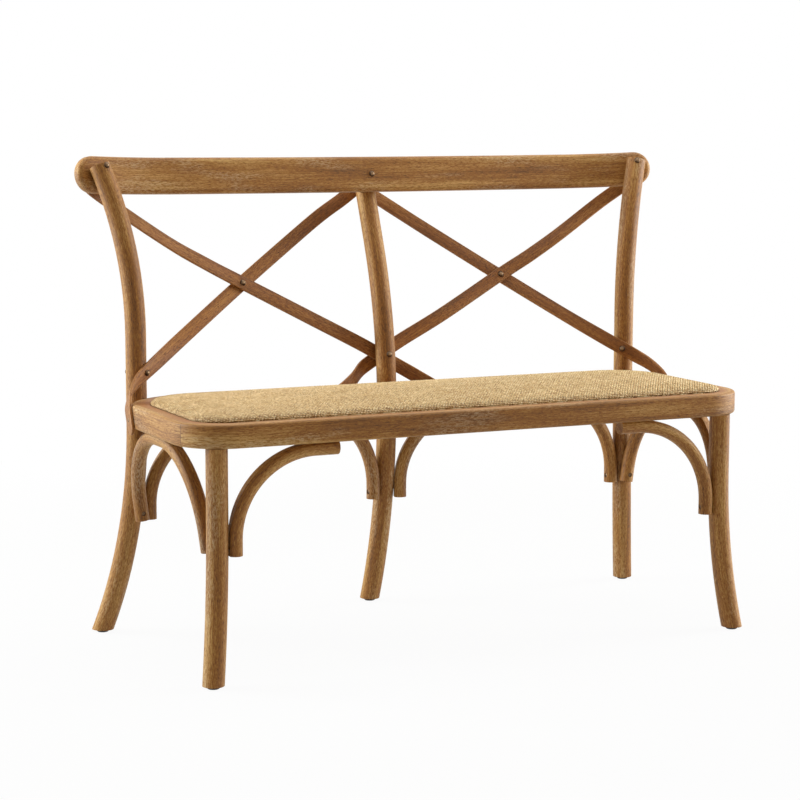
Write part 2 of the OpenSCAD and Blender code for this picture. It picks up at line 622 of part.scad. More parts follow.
// The rail lies in its own tilted plane, with its two tighter bends turned about these centres
rail_bend_at = [(rail_long_r - rail_end_r) * sin(rail_long_angle),
    (rail_long_r - rail_end_r) * cos(rail_long_angle) - rail_long_r];
module at_rail() translate([0, rail_y, rail_z]) rotate([-rail_tilt, 0, 0]) children();
module rail_bend(from, to) translate(rail_bend_at) rotate([0, 0, 90 - to])
    rotate_extrude(angle = to - from, $fn = bend_fn) translate([rail_end_r, 0]) children();
// Space that the rail needs in a post
module rail_notch() at_rail() rail_bend(rail_long_angle, rail_end_angle + 4)
    square([rail_t + 2 * fit, rail_h + 2 * fit], center = true);

module end_post(side) color(wood) placed() on_side(side) difference() {
    translate([end_post_base[0], end_post_base[1], 0]) {
        translate([0, 0, rear_bend_z]) rod(end_rake_z - rear_bend_z + over);
        translate([0, 0, rear_bend_z]) rod_foot(end_splay_r, rear_bend_z, 90 - end_splay_dir);
        translate([0, 0, end_rake_z]) rotate([0, 0, 90 - end_rake_dir])
            rod_bend(end_rake_r, asin(end_rake_h / end_rake_r));
    }
    below_feet();
    glide_site(end_foot) glide_pin_hole();
    translate([corner_at[0], corner_at[1], seat_under - fit]) rotate([0, 0, 90 - corner_post_dir])
        translate([end_post_away - leg_r + corner_let / 2 - leg_d, -leg_d, 0])
            cube([leg_d, 2 * leg_d, seat_t + 2 * fit]);
    rail_notch();
    at_end_bracket() foot_screw_site() screw_hole(arm_screw_l);
    at_hoop() translate([hoop_span, 0, 0]) mirror([1, 0, 0]) foot_screw_site() screw_hole(arm_screw_l);
    corner_bolt_site() stud_hole(corner_bolt_l);
    post_rivet_site() stud_hole(post_rivet_l);
    crest_stud_site() stud_hole(crest_stud_l);
}

middle_top_z = rail_z + 18;
middle_straight_l = (middle_top_z - middle_straight_z) / cos(middle_lean);
module middle_post() color(wood) placed() difference() {
    translate([0, middle_post_y, 0]) {
        translate([0, 0, rear_bend_z]) rotate([0, 0, 90]) rod_bend(middle_bend_r, middle_lean);
        translate([0, 0, rear_bend_z]) rod_foot(middle_splay_r, rear_bend_z, 90);
        translate([0, middle_straight_y - middle_post_y, middle_straight_z]) rotate([-middle_lean, 0, 0])
            rod(middle_straight_l);
    }
    below_feet();
    glide_site(middle_foot) glide_pin_hole();
    translate([-leg_d, seat_rear_y - leg_d, seat_under - fit]) cube([2 * leg_d, leg_d, seat_t + 2 * fit]);
    at_rail() translate([-leg_d, rail_t / 2 + fit - leg_d, -rail_h / 2 - fit]) cube([2 * leg_d, leg_d, reach]);
    for (side = [-1, 1]) on_side(side) at_middle_bracket() foot_screw_site() screw_hole(arm_screw_l);
    middle_bolt_site() stud_hole(middle_bolt_l);
    low_rivet_site() stud_hole(low_rivet_l);
    rail_stud_site() stud_hole(rail_stud_l);
    high_screw_site() screw_hole(high_screw_l);
}

// Section of the rail, and the half of it that is revolved for the rounded ends
module rail_section(less) {
    flat = [rail_t - 2 * less - 2 * rail_edge_r, rail_h - 2 * less - 2 * rail_edge_r];
    square([flat[0], rail_h - 2 * less], center = true);
    square([rail_t - 2 * less, flat[1]], center = true);
    for (x = [-1, 1], y = [-1, 1])
        translate([x * flat[0] / 2, y * flat[1] / 2]) circle(r = rail_edge_r, $fn = round_fn);
}
module rail_half_section(less) {
    tip = rail_h / 2 - less - rail_edge_r;
    flat = rail_t - 2 * less - 2 * rail_edge_r;
    translate([0, less - rail_t / 2]) square([tip, rail_t - 2 * less]);
    translate([0, -flat / 2]) square([tip + rail_edge_r, flat]);
    for (y = [-1, 1]) translate([tip, y * flat / 2]) circle(r = rail_edge_r, $fn = round_fn);
}
module rail_end() {
    rotate([90, 0, 0]) rotate([0, 0, -90])
        rotate_extrude(angle = 180, $fn = bend_fn) rail_half_section(2 * seam);
    rotate([0, -90, 0]) linear_extrude(over) rotate([0, 0, 90]) rail_section(2 * seam);
}
module crest_rail() color(frame_wood) placed() difference() {
    at_rail() {
        translate([0, -rail_long_r, 0]) rotate([0, 0, 90 - rail_long_angle])
            rotate_extrude(angle = 2 * rail_long_angle, $fn = long_bend_fn)
                translate([rail_long_r, 0]) rail_section(0);
        for (side = [-1, 1]) on_side(side) {
            rail_bend(rail_long_angle - asin(over / rail_end_r), rail_end_angle) rail_section(seam);
            translate([rail_end_sweep, -rail_sag(rail_end_sweep), 0])
                rotate([0, 0, -rail_end_angle]) rail_end();
        }
    }
    rail_stud_site() stud_hole(rail_stud_l);
    for (side = [-1, 1]) on_side(side) {
        crest_stud_site() stud_hole(crest_stud_l);
        front_tip_site(side) screw_hole(strap_screw_l);
    }
}

module front_strap(side) color(strap_wood) placed() on_side(side) difference() {
    loft(strap_sections(smooth(front_strap_keys(lift_of(side)))));
    cross_rivet_site() stud_hole(cross_rivet_l);
    low_rivet_site() stud_hole(low_rivet_l + layer);
    front_end_site(side) screw_hole(strap_screw_l);
    front_tip_site(side) screw_hole(strap_screw_l);
}
module rear_strap(side) color(strap_wood) placed() on_side(side) difference() {
    loft(strap_sections(smooth(rear_strap_keys(lift_of(side)))));
    cross_rivet_site() stud_hole(cross_rivet_l);
    high_screw_site() screw_hole(high_screw_l);
    post_rivet_site() stud_hole(post_rivet_l);
    tail_site(side) screw_hole(strap_screw_l);
}

module front_bracket(side) color(wood) placed() on_side(side) at_front_bracket() bracket();
module end_bracket(side) color(wood) placed() on_side(side) at_end_bracket() bracket();
module middle_bracket(side) color(wood) placed() on_side(side) at_middle_bracket() bracket();
module side_hoop(side) color(wood) placed() on_side(side) difference() {
    at_hoop() {
        arm(hoop_span / 2 - arm_r + seam);
        translate([hoop_span, 0, 0]) mirror([1, 0, 0]) arm(hoop_span / 2 - arm_r);
    }
    translate([0, 0, seat_under]) cube(reach);
    at_hoop() hoop_screw_sites() screw_hole(arm_screw_l);
}

module crest_studs() color(bronze) placed() {
    for (side = [-1, 1]) on_side(side) crest_stud_site() stud(crest_stud_l);
    rail_stud_site() stud(rail_stud_l);
}
module crossing_rivets() color(bronze) placed()
    for (side = [-1, 1]) on_side(side) cross_rivet_site() rivet(cross_rivet_l);
module post_rivets() color(bronze) placed() {
    for (side = [-1, 1]) on_side(side) post_rivet_site() rivet(post_rivet_l);
    low_rivet_site() rivet(low_rivet_l);
}
module strap_screws() color(bronze) placed() {
    for (side = [-1, 1]) on_side(side) {
        tail_site(side) screw(strap_screw_l);
        front_end_site(side) screw(strap_screw_l);
        front_tip_site(side) screw(strap_screw_l);
    }
    high_screw_site() screw(high_screw_l);
}
module bracket_screws() color(bronze) placed()
    for (side = [-1, 1]) on_side(side) {
        at_front_bracket() arm_screw_sites() screw(arm_screw_l);
        at_end_bracket() arm_screw_sites() screw(arm_screw_l);
        at_middle_bracket() arm_screw_sites() screw(arm_screw_l);
        at_hoop() hoop_screw_sites() screw(arm_screw_l);
    }
module seat_bolts() color(bronze) placed() {
    for (side = [-1, 1]) on_side(side) corner_bolt_site() stud(corner_bolt_l);
    middle_bolt_site() stud(middle_bolt_l);
}

// Glide: a low round button with a nail up into the foot
module glide() {
    translate([0, 0, -glide_h / 2]) cylinder(d = glide_d, h = glide_h / 2, $fn = round_fn);
    translate([0, 0, -glide_h]) cylinder(d1 = glide_d - glide_h, d2 = glide_d, h = glide_h / 2, $fn = round_fn);
    cylinder(d = screw_d, h = screw_bite, $fn = small_fn);
}
module glides() color(nylon) placed() {
    for (side = [-1, 1]) on_side(side) {
        glide_site(front_foot) glide();
        glide_site(end_foot) glide();
    }
    glide_site(middle_foot) glide();
}

seat_frame();
seat_board();
rattan_panel();
front_leg(-1);  // front_leg_left
front_leg(1);  // front_leg_right
end_post(-1);  // end_post_left
end_post(1);  // end_post_right
middle_post();
crest_rail();
front_strap(-1);  // front_strap_left
front_strap(1);  // front_strap_right
rear_strap(-1);  // rear_strap_left
rear_strap(1);  // rear_strap_right
side_hoop(-1);  // side_hoop_left
side_hoop(1);  // side_hoop_right
front_bracket(-1);  // front_bracket_left
front_bracket(1);  // front_bracket_right
end_bracket(-1);  // end_bracket_left
end_bracket(1);  // end_bracket_right
middle_bracket(-1);  // middle_bracket_left
middle_bracket(1);  // middle_bracket_right
crest_studs();
crossing_rivets();
post_rivets();
strap_screws();
bracket_screws();
seat_bolts();
glides();
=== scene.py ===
import math

import bmesh
import bpy
import numpy as np
from mathutils import Matrix, Vector


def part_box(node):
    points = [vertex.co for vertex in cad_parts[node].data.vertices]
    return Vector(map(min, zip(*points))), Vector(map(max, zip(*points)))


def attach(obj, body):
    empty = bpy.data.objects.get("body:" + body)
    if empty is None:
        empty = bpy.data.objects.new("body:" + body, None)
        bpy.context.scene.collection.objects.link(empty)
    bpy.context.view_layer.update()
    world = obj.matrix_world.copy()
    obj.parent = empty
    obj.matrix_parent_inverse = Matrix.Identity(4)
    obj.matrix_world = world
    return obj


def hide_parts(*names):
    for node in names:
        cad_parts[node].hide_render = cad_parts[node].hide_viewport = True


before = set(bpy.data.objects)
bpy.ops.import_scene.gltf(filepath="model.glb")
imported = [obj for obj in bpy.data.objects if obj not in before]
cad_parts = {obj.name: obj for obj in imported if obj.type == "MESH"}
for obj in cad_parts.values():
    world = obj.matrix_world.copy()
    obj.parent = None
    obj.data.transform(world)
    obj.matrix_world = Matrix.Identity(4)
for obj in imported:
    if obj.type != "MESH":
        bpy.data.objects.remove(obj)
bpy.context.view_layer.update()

# The seat ring: a hardwood bar, steamed and bent round until its ends meet in a glued joint at the front left
# corner. It carries the seat, and every leg is fixed to it. Its outer arrises are rounded over, and the wood
# is brushed, oiled and lightly washed with grey.

MM = 0.001
SEAT_W, SEAT_D, SEAT_TOP, SEAT_T = 1113.0, 418.0, 446.0, 41.0
BAR_W, OUTER_ARRIS, INNER_ARRIS = 58.0, 5.0, 2.0
FRONT_EDGE, FRONT_CORNER, REAR_CORNER = -25.6, 89.0, 136.0
JOINT_TURN = 200  # degrees round the corners, from the seat's right end

# The bench's own Y runs back from the axes of its front legs
LEG_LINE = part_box("seat_frame")[0].y - FRONT_EDGE * MM


def at_bench(points):
    """Points in millimetres from the front legs' line, as metres in the frame."""
    return np.asarray(points, float) * MM + np.array([0.0, LEG_LINE, 0.0])


def srgb(*colour):
    """A colour as it looks on a screen, 0 to 255, as the linear colour that a shader takes."""
    return tuple(((c / 255 + 0.055) / 1.055) ** 2.4 if c > 10 else c / 255 / 12.92 for c in colour) + (1.0,)


class Wire:
    """A socket: sums, products and powers of wires add the nodes that work them out."""

    def __init__(self, bench, socket):
        self.bench, self.socket = bench, socket

    def maths(self, operation, *values):
        return self.bench.add("ShaderNodeMath", {"operation": operation}, values)[0]

    def __add__(self, other):
        return self.maths("ADD", self, other)

    def __sub__(self, other):
        return self.maths("SUBTRACT", self, other)

    def __rsub__(self, other):
        return self.maths("SUBTRACT", other, self)

    def __mul__(self, other):
        return self.maths("MULTIPLY", self, other)

    def __truediv__(self, other):
        return self.maths("DIVIDE", self, other)

    def __pow__(self, other):
        return self.maths("POWER", self, other)

    __radd__, __rmul__ = __add__, __mul__

    def clear(self, low, high):
        """0 below low, 1 above high, and a smooth step between them."""
        return self.bench.add("ShaderNodeMapRange", {"interpolation_type": "SMOOTHSTEP"},
                              {"Value": self, "From Min": low, "From Max": high})[0]


class Bench:
    """A node tree under construction."""

    def __init__(self, tree):
        self.tree = tree

    def add(self, kind, settings=None, inputs=()):
        """Adds a node, sets it up, feeds its sockets by place or name, and returns its outputs as wires."""
        made = self.tree.nodes.new(kind)
        for key, value in (settings or {}).items():
            if key == "stops":
                ramp = made.color_ramp.elements
                while len(ramp) < len(value):
                    ramp.new(0.5)
                for stop, (place, colour) in zip(ramp, value):
                    stop.position, stop.color = place, colour
            else:
                setattr(made, key, value)
        for key, value in inputs.items() if isinstance(inputs, dict) else enumerate(inputs):
            if isinstance(value, Wire):
                self.tree.links.new(value.socket, made.inputs[key])
            elif value is not None:
                made.inputs[key].default_value = value
        return [Wire(self, socket) for socket in made.outputs]

    def vector(self, x, y, z):
        return self.add("ShaderNodeCombineXYZ", None, (x, y, z))[0]

    def parts(self, vector):
        return self.add("ShaderNodeSeparateXYZ", None, (vector,))

    def vectors(self, operation, *values):
        return self.add("ShaderNodeVectorMath", {"operation": operation}, values)[0]

    def place(self):
        """Each point's place on the object, in metres."""
        return self.add("ShaderNodeTexCoord")[3]

    def on_mesh(self, name):
        """An attribute of the mesh, as a colour, a vector and a value."""
        return self.add("ShaderNodeAttribute", {"attribute_name": name})

    def stored(self, name, kind="FLOAT"):
        """An attribute that a tree reads from its geometry."""
        return self.add("GeometryNodeInputNamedAttribute", {"data_type": kind}, {"Name": name})[0]

    def random(self, inputs):
        """A random number for each point of a tree's geometry, from 0 to 1 or from input 2 to input 3."""
        return self.add("FunctionNodeRandomValue", {"data_type": "FLOAT"}, inputs)[1]

    def times(self, vector, share):
        return self.add("ShaderNodeVectorMath", {"operation": "SCALE"}, {0: vector, "Scale": share})[0]

    def noise(self, vector, scale, detail=2.0, roughness=0.5):
        return self.add("ShaderNodeTexNoise", None, {
            "Vector": self.vectors("MULTIPLY", vector, scale), "Scale": 1.0, "Detail": detail,
            "Roughness": roughness})[0]

    def ramp(self, value, *stops):
        return self.add("ShaderNodeValToRGB", {"stops": stops}, (value,))[0]

    def mix(self, share, one, other):
        return self.add("ShaderNodeMix", {"data_type": "RGBA"}, {0: share, 6: one, 7: other})[2]

    def bump(self, height, strength, distance):
        return self.add("ShaderNodeBump", None, {
            "Strength": strength, "Distance": distance, "Height": height})[0]

    def surface(self, **inputs):
        """Ends a material in one shader."""
        named = {key.replace("_", " "): value for key, value in inputs.items()}
        shader = self.add("ShaderNodeBsdfPrincipled", None, named)
        self.add("ShaderNodeOutputMaterial", None, {"Surface": shader[0]})


def new_material(name):
    material = bpy.data.materials.new(name)
    material.use_nodes = True
    material.node_tree.nodes.clear()
    return material, Bench(material.node_tree)


DEEP, MIDDLE, PALE = srgb(92, 53, 15), srgb(156, 103, 41), srgb(208, 168, 102)
WASH, PORE, STRIP_SHADE, GLUE, SHEEN = (srgb(210, 200, 174), srgb(60, 34, 14), srgb(142, 80, 28), srgb(60, 36, 18),
                                 srgb(255, 240, 204))
# How fine the patterns of the grain are across, across and along the fibres, per metre
BANDS, STREAKS = (48.0, 48.0, 3.0), (420.0, 420.0, 9.0)
FIBRES, PATCHES = (640.0, 640.0, 130.0), (28.0, 28.0, 5.0)
# In metres on the bar: where the strip of painted shade beside the panel ends, where the top begins, the
# joint's line
STRIP_EDGE, TOP_EDGE, JOINT_EDGE = (0.008, 0.022), (0.014, 0.019), (0.0002, 0.0008)


def oiled_wood(name, deep, middle, pale, wash, wash_share, worn=0.45, ring=False, straight=False):
    """Brushed, oiled wood. The grain attribute holds each place across, across and along the fibres.

    Straight wood needs none: its fibres run along X. Ring wood shows its joint and a strip of painted shade
    beside the panel.
    """
    material, b = new_material(name)
    grain = b.vector(*b.parts(b.place())[2::-1]) if straight else b.on_mesh("grain")[1]
    bands = b.noise(grain, BANDS, detail=3.0)
    streaks = b.noise(grain, STREAKS, detail=4.0, roughness=0.6)
    fibres = b.noise(grain, FIBRES, detail=4.0, roughness=0.75)
    patches = b.noise(grain, PATCHES, detail=3.0)
    colour = b.ramp(bands * 0.34 + streaks * 0.24 + fibres * 0.42, (0.37, deep), (0.5, middle), (0.63, pale))
    pores = 1.0 - fibres.clear(0.34, 0.44)
    colour = b.mix(pores * 0.62, colour, PORE)
    greyed = patches.clear(0.5, 0.64) * fibres.clear(0.46, 0.6)
    colour = b.mix(greyed * wash_share, colour, wash)
    colour = b.mix(b.on_mesh("wear")[2] * worn, colour, pale)
    if ring:
        bar = b.parts(grain)
        # Painted shade: a darker strip on the ring's top beside the panel, where shade falls next to the
        # weave.
        beside = (1.0 - bar[0].clear(*STRIP_EDGE)) * bar[1].clear(*TOP_EDGE)
        colour = b.mix(beside * 0.7, colour, STRIP_SHADE)
        joint = 1.0 - b.parts(b.on_mesh("joint")[1])[0].clear(*JOINT_EDGE)
        colour = b.mix(joint * 0.55, colour, GLUE)
    bump = b.bump(streaks * 0.5 + fibres * 0.5 - pores * 0.3, 0.35, 0.0006)
    b.surface(Base_Color=colour, Roughness=0.46 + streaks * 0.2 + pores * 0.15, Normal=bump,
              Specular_IOR_Level=0.4, Sheen_Weight=0.14, Sheen_Roughness=0.4, Sheen_Tint=SHEEN)
    return material


timber = oiled_wood("oiled timber", DEEP, MIDDLE, PALE, WASH, 0.34)
ring_timber = oiled_wood("ring timber", DEEP, MIDDLE, PALE, WASH, 0.36, worn=0.12, ring=True)


def rounded_section(width, height, radii, steps):
    """Outline of a rectangle with its four corners rounded, anticlockwise from the lower left."""
    points, wear = [], []
    for (x, y, turn), radius in zip([(-1, -1, 180), (1, -1, 270), (1, 1, 0), (-1, 1, 90)], radii):
        for i in range(steps + 1):
            a = math.radians(turn + 90 * i / steps)
            points.append((x * (width / 2 - radius) + radius * math.cos(a),
                           y * (height / 2 - radius) + radius * math.sin(a)))
            wear.append(math.sin(math.pi * i / steps))
    return np.array(points), np.array(wear)


def set_out(name, data):
    """An object in the scene for a mesh, a lamp or a camera."""
    holder = bpy.data.objects.new(name, data)
    bpy.context.scene.collection.objects.link(holder)
    return holder


def dress(mesh, material):
    mesh.materials.clear()
    mesh.materials.append(material)


def merged(mesh, apart=2e-6):
    """A mesh opened for work, with its doubled points merged."""
    work = bmesh.new()
    work.from_mesh(mesh)
    bmesh.ops.remove_doubles(work, verts=work.verts, dist=apart)
    return work


def finish_mesh(name, mesh, material, sharp=35.0):
    """Rounds the shading off, but for arrises sharper than an angle, and gives the mesh its material."""
    dress(mesh, material)
    mesh.shade_smooth()
    mesh.set_sharp_from_angle(angle=math.radians(sharp))
    return set_out(name, mesh)


def skin(name, rings, grain, wear, material, closed=False, joint=None, sharp=35.0):
    """A piece through rings of points in metres, with each point's place in the grain and its wear."""
    count, around = len(rings), len(rings[0])
    faces, corners = [], []
    for i in range(count if closed else count - 1):
        k = (i + 1) % count
        for j in range(around):
            n = (j + 1) % around
            faces.append((i * around + j, i * around + n, k * around + n, k * around + j))
            after = i + 1 if closed else k
            corners.append(((i, j), (i, n), (after, n), (after, j)))
    if not closed:
        for i, order in ((0, range(around - 1, -1, -1)), (count - 1, range(around))):
            faces.append(tuple(i * around + j for j in order))
            corners.append(tuple((i, j) for j in order))
    mesh = bpy.data.meshes.new(name)
    mesh.from_pydata(np.concatenate(rings).tolist(), [], faces)
    values = np.array([grain[i][j] for face in corners for i, j in face], np.float32)
    mesh.attributes.new("grain", "FLOAT_VECTOR", "CORNER").data.foreach_set("vector", values.ravel())
    shine = np.array([wear[i][j] for face in corners for i, j in face], np.float32)
    mesh.attributes.new("wear", "FLOAT", "CORNER").data.foreach_set("value", shine)
    if joint is not None:
        ends = np.array([(joint[i], 0, 0) for face in corners for i, j in face], np.float32)
        mesh.attributes.new("joint", "FLOAT_VECTOR", "CORNER").data.foreach_set("vector", ends.ravel())
    work = merged(mesh, 1e-6)
    bmesh.ops.recalc_face_normals(work, faces=work.faces)
    work.to_mesh(mesh)
    work.free()
    return finish_mesh(name, mesh, material, sharp)


def ring_line(inset, step=12.0, turn=4):
    """Points and outward directions round the seat, at an inset from its outer edge, from the joint on."""
    half, rear = SEAT_W / 2, FRONT_EDGE + SEAT_D
    corners = [(half - FRONT_CORNER, FRONT_EDGE + FRONT_CORNER, FRONT_CORNER, 270),
               (half - REAR_CORNER, rear - REAR_CORNER, REAR_CORNER, 0),
               (REAR_CORNER - half, rear - REAR_CORNER, REAR_CORNER, 90),
               (FRONT_CORNER - half, FRONT_EDGE + FRONT_CORNER, FRONT_CORNER, 180)]
    places, outs, joint = [], [], 0

    def straight_to(spot, out):
        far = spot - places[-1]
        pieces = int(np.linalg.norm(far) / step) + 1
        places.extend([places[-1] + far * i / pieces for i in range(1, pieces)])
        outs.extend([out] * (pieces - 1))

    for x, y, radius, begin in corners:
        for a in sorted({*range(begin, begin + 90, turn), begin + 90}):
            joint = len(places) if a == JOINT_TURN else joint
            out = np.array([math.cos(math.radians(a)), math.sin(math.radians(a))])
            spot = np.array([x, y]) + (radius - inset) * out
            if a == begin and places:
                straight_to(spot, out)
            places.append(spot)
            outs.append(out)
    straight_to(places[0], outs[0])
    return np.roll(np.array(places), -joint, axis=0), np.roll(np.array(outs), -joint, axis=0)


def run_along(points):
    """How far along a line each of its points lies."""
    return np.concatenate([[0.0], np.cumsum(np.linalg.norm(np.diff(points, axis=0), axis=1))])


section, section_wear = rounded_section(
    BAR_W, SEAT_T, (INNER_ARRIS, OUTER_ARRIS, OUTER_ARRIS, INNER_ARRIS), steps=6)
middle_line, outward = ring_line(BAR_W / 2)
gone = run_along(np.vstack([middle_line, middle_line[:1]]))
rings = [at_bench([(x + ox * u, y + oy * u, SEAT_TOP - SEAT_T / 2 + v) for u, v in section])
         for (x, y), (ox, oy) in zip(middle_line, outward)]
grain = [[(u * MM, v * MM, s * MM) for u, v in section] for s in gone]
wear = [section_wear] * len(gone)
to_joint = np.minimum(gone, gone[-1] - gone) * MM
seat_ring = skin("seat_ring", rings, grain, wear, ring_timber, closed=True, joint=to_joint)
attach(seat_ring, "root")
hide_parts("seat_frame")

# The board: plain wood, cut to the rebate on the inside of the ring and laid in it under the weave.
# It is seen only from below.

board_wood = oiled_wood("plain board", srgb(140, 104, 64), srgb(171, 133, 88), srgb(196, 160, 115),
                        srgb(205, 188, 160), 0.2, straight=True)
dress(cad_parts["seat_board"].data, board_wood)

# The rattan panel: split rattan, woven over and under on a form with a low crown and rolled down over its
# edge all round into the gap beside the ring. The strands vary from straw to tan, the tan partly painted
# shade, with a dark sheet of painted shade seen in the gaps between.

BORDER_SIDE, BORDER_FRONT, BORDER_REAR = 30.0, 25.0, 44.0
PANEL_FRONT_R, PANEL_REAR_R, LEAST_R = 62.0, 100.0, 8.0
RIM_GAP, ROLL, RISE, CROWN, CROWN_IN = 1.5, 15.0, 9.0, 6.0, 142.0
ROLL_STEPS, CROWN_STEPS = 6, 12
# How deep under the face of the CAD's plain panel the dark sheet of painted shade in the gaps and the middle
# of the strands lie
WEAVE_UNDER, WEAVE_MID = 1.5, 0.5
ALONG_PITCH, ACROSS_PITCH, ALONG_STRAND, ACROSS_STRAND, WAVE, WANDER = 4.2, 2.7, 2.2, 1.7, 0.7, 0.25


def panel_line(inset, corner_steps=16, straight_steps=(70, 20)):
    """Points round the panel in plan, at an inset from its outline."""
    x = SEAT_W / 2 - BORDER_SIDE - inset
    front, rear = FRONT_EDGE + BORDER_FRONT + inset, FRONT_EDGE + SEAT_D - BORDER_REAR - inset
    fr, rr = max(PANEL_FRONT_R - inset, LEAST_R), max(PANEL_REAR_R - inset, LEAST_R)
    spots = []
    for cx, cy, radius, begin in [(x - rr, rear - rr, rr, 0), (rr - x, rear - rr, rr, 90),
                                  (fr - x, front + fr, fr, 180), (x - fr, front + fr, fr, 270)]:
        spots.append([(cx + radius * math.cos(math.radians(begin + 90 * i / corner_steps)),
                       cy + radius * math.sin(math.radians(begin + 90 * i / corner_steps)))
                      for i in range(corner_steps + 1)])
    line = []
    for k, corner in enumerate(spots):
        line += corner
        start, end = np.array(corner[-1]), np.array(spots[(k + 1) % 4][0])
        steps = straight_steps[k % 2]
        line += [tuple(start + (end - start) * i / steps) for i in range(1, steps)]
    return line


def former_rings(lower):
    """Rings of the form under the weave, from its foot up over the rolled edge to the crown."""
    rings = []
    for a in np.linspace(0, math.pi / 2, ROLL_STEPS + 1):
        inset = RIM_GAP + lower + (ROLL - lower) * (1 - math.cos(a))
        rings.append([(x, y, SEAT_TOP + (RISE - lower) * math.sin(a)) for x, y in panel_line(inset)])
    for f in np.linspace(0.08, 1, CROWN_STEPS):
        z = SEAT_TOP + RISE - lower + CROWN * f * (2 - f)
        rings.append([(x, y, z) for x, y in panel_line(RIM_GAP + ROLL + f * CROWN_IN)])
    return [at_bench(ring) for ring in rings]


# Painted shade: a dark sheet under the strands, seen only through the gaps of the weave.
gap_shade, b = new_material("weave ground")
speckle = b.noise(b.place(), (600.0, 600.0, 600.0))
shade = b.ramp(speckle, (0.35, srgb(70, 40, 14)), (0.65, srgb(120, 80, 38)))
b.surface(Base_Color=shade, Roughness=speckle * 0.2 + 0.7, Specular_IOR_Level=0.2,
          Normal=b.bump(speckle, 0.5, 0.0005))

rings = former_rings(WEAVE_UNDER)
no_grain, no_wear = [[(0.0, 0.0, 0.0)] * len(r) for r in rings], [[0.0] * len(r) for r in rings]
gap_shade_sheet = skin("panel_ground", rings, no_grain, no_wear, gap_shade)
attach(gap_shade_sheet, "root")


def cane(name, low, mid, high):
    """Split rattan, whose tint changes at random from strand to strand, with painted shade where a strand
    dips under, and with darker flecks.
    """
    material, b = new_material(name)
    place = b.place()
    cloud = b.noise(place, (22.0, 30.0, 22.0), detail=3.0)
    fleck = b.noise(place, (460.0, 460.0, 460.0), detail=3.0, roughness=0.7)
    # The tint attribute carries painted shade: it is lower where a strand dips under and higher where it
    # passes over.
    tone = b.on_mesh("tint")[2] * 0.7 + cloud * 0.1 + fleck * 0.2
    colour = b.ramp(tone, (0.28, low), (0.48, mid), (0.72, high))
    colour = b.mix((1.0 - fleck.clear(0.34, 0.42)) * 0.75, colour, srgb(120, 80, 40))
    b.surface(Base_Color=colour, Roughness=0.45 + fleck * 0.25, Normal=b.bump(fleck, 0.4, 0.0004),
              Specular_IOR_Level=0.4)
    return material


light_cane = cane("straw rattan", srgb(96, 60, 22), srgb(198, 158, 98), srgb(255, 238, 192))
# The cross strands' darker tan is partly painted shade: a darker copy of the same cane that sets them off
# against the straw strands.
shaded_tan_cane = cane("shaded tan rattan", srgb(80, 48, 16), srgb(168, 126, 70), srgb(238, 208, 154))


def geometry_tree(name, inputs):
    """An empty tree of geometry nodes with named inputs, with its bench and the wires of the inputs."""
    tree = bpy.data.node_groups.new(name, "GeometryNodeTree")
    tree.interface.new_socket("Geometry", in_out="INPUT", socket_type="NodeSocketGeometry")
    for label, kind, value in inputs:
        socket = tree.interface.new_socket(label, in_out="INPUT", socket_type="NodeSocket" + kind)
        if value is not None:
            socket.default_value = value
    tree.interface.new_socket("Geometry", in_out="OUTPUT", socket_type="NodeSocketGeometry")
    bench = Bench(tree)
    wires = bench.add("NodeGroupInput")
    return tree, bench, dict(zip(["Geometry"] + [i[0] for i in inputs], wires))


def end_tree(bench, geometry, material):
    realised = bench.add("GeometryNodeRealizeInstances", None, {"Geometry": geometry})[0]
    covered = bench.add("GeometryNodeSetMaterial", None, {"Geometry": realised, "Material": material})[0]
    bench.add("NodeGroupOutput", None, (covered,))


def settled(worker):
    """The plain mesh that an object's modifiers make of it."""
    bpy.context.view_layer.update()
    return bpy.data.meshes.new_from_object(worker.evaluated_get(bpy.context.evaluated_depsgraph_get()))


def grown(name, source, tree, values, material):
    """Runs a tree on a mesh with values for its named inputs, and keeps the result as a plain mesh."""
    worker = set_out("worker", source)
    modifier = worker.modifiers.new("grow", "NODES")
    modifier.node_group = tree
    idents = {item.name: item.identifier for item in tree.interface.items_tree if item.in_out == "INPUT"}
    for label, value in values.items():
        modifier[idents[label]] = value
    mesh = settled(worker)
    mesh.name = name
    bpy.data.objects.remove(worker)
    dress(mesh, material)
    return set_out(name, mesh)


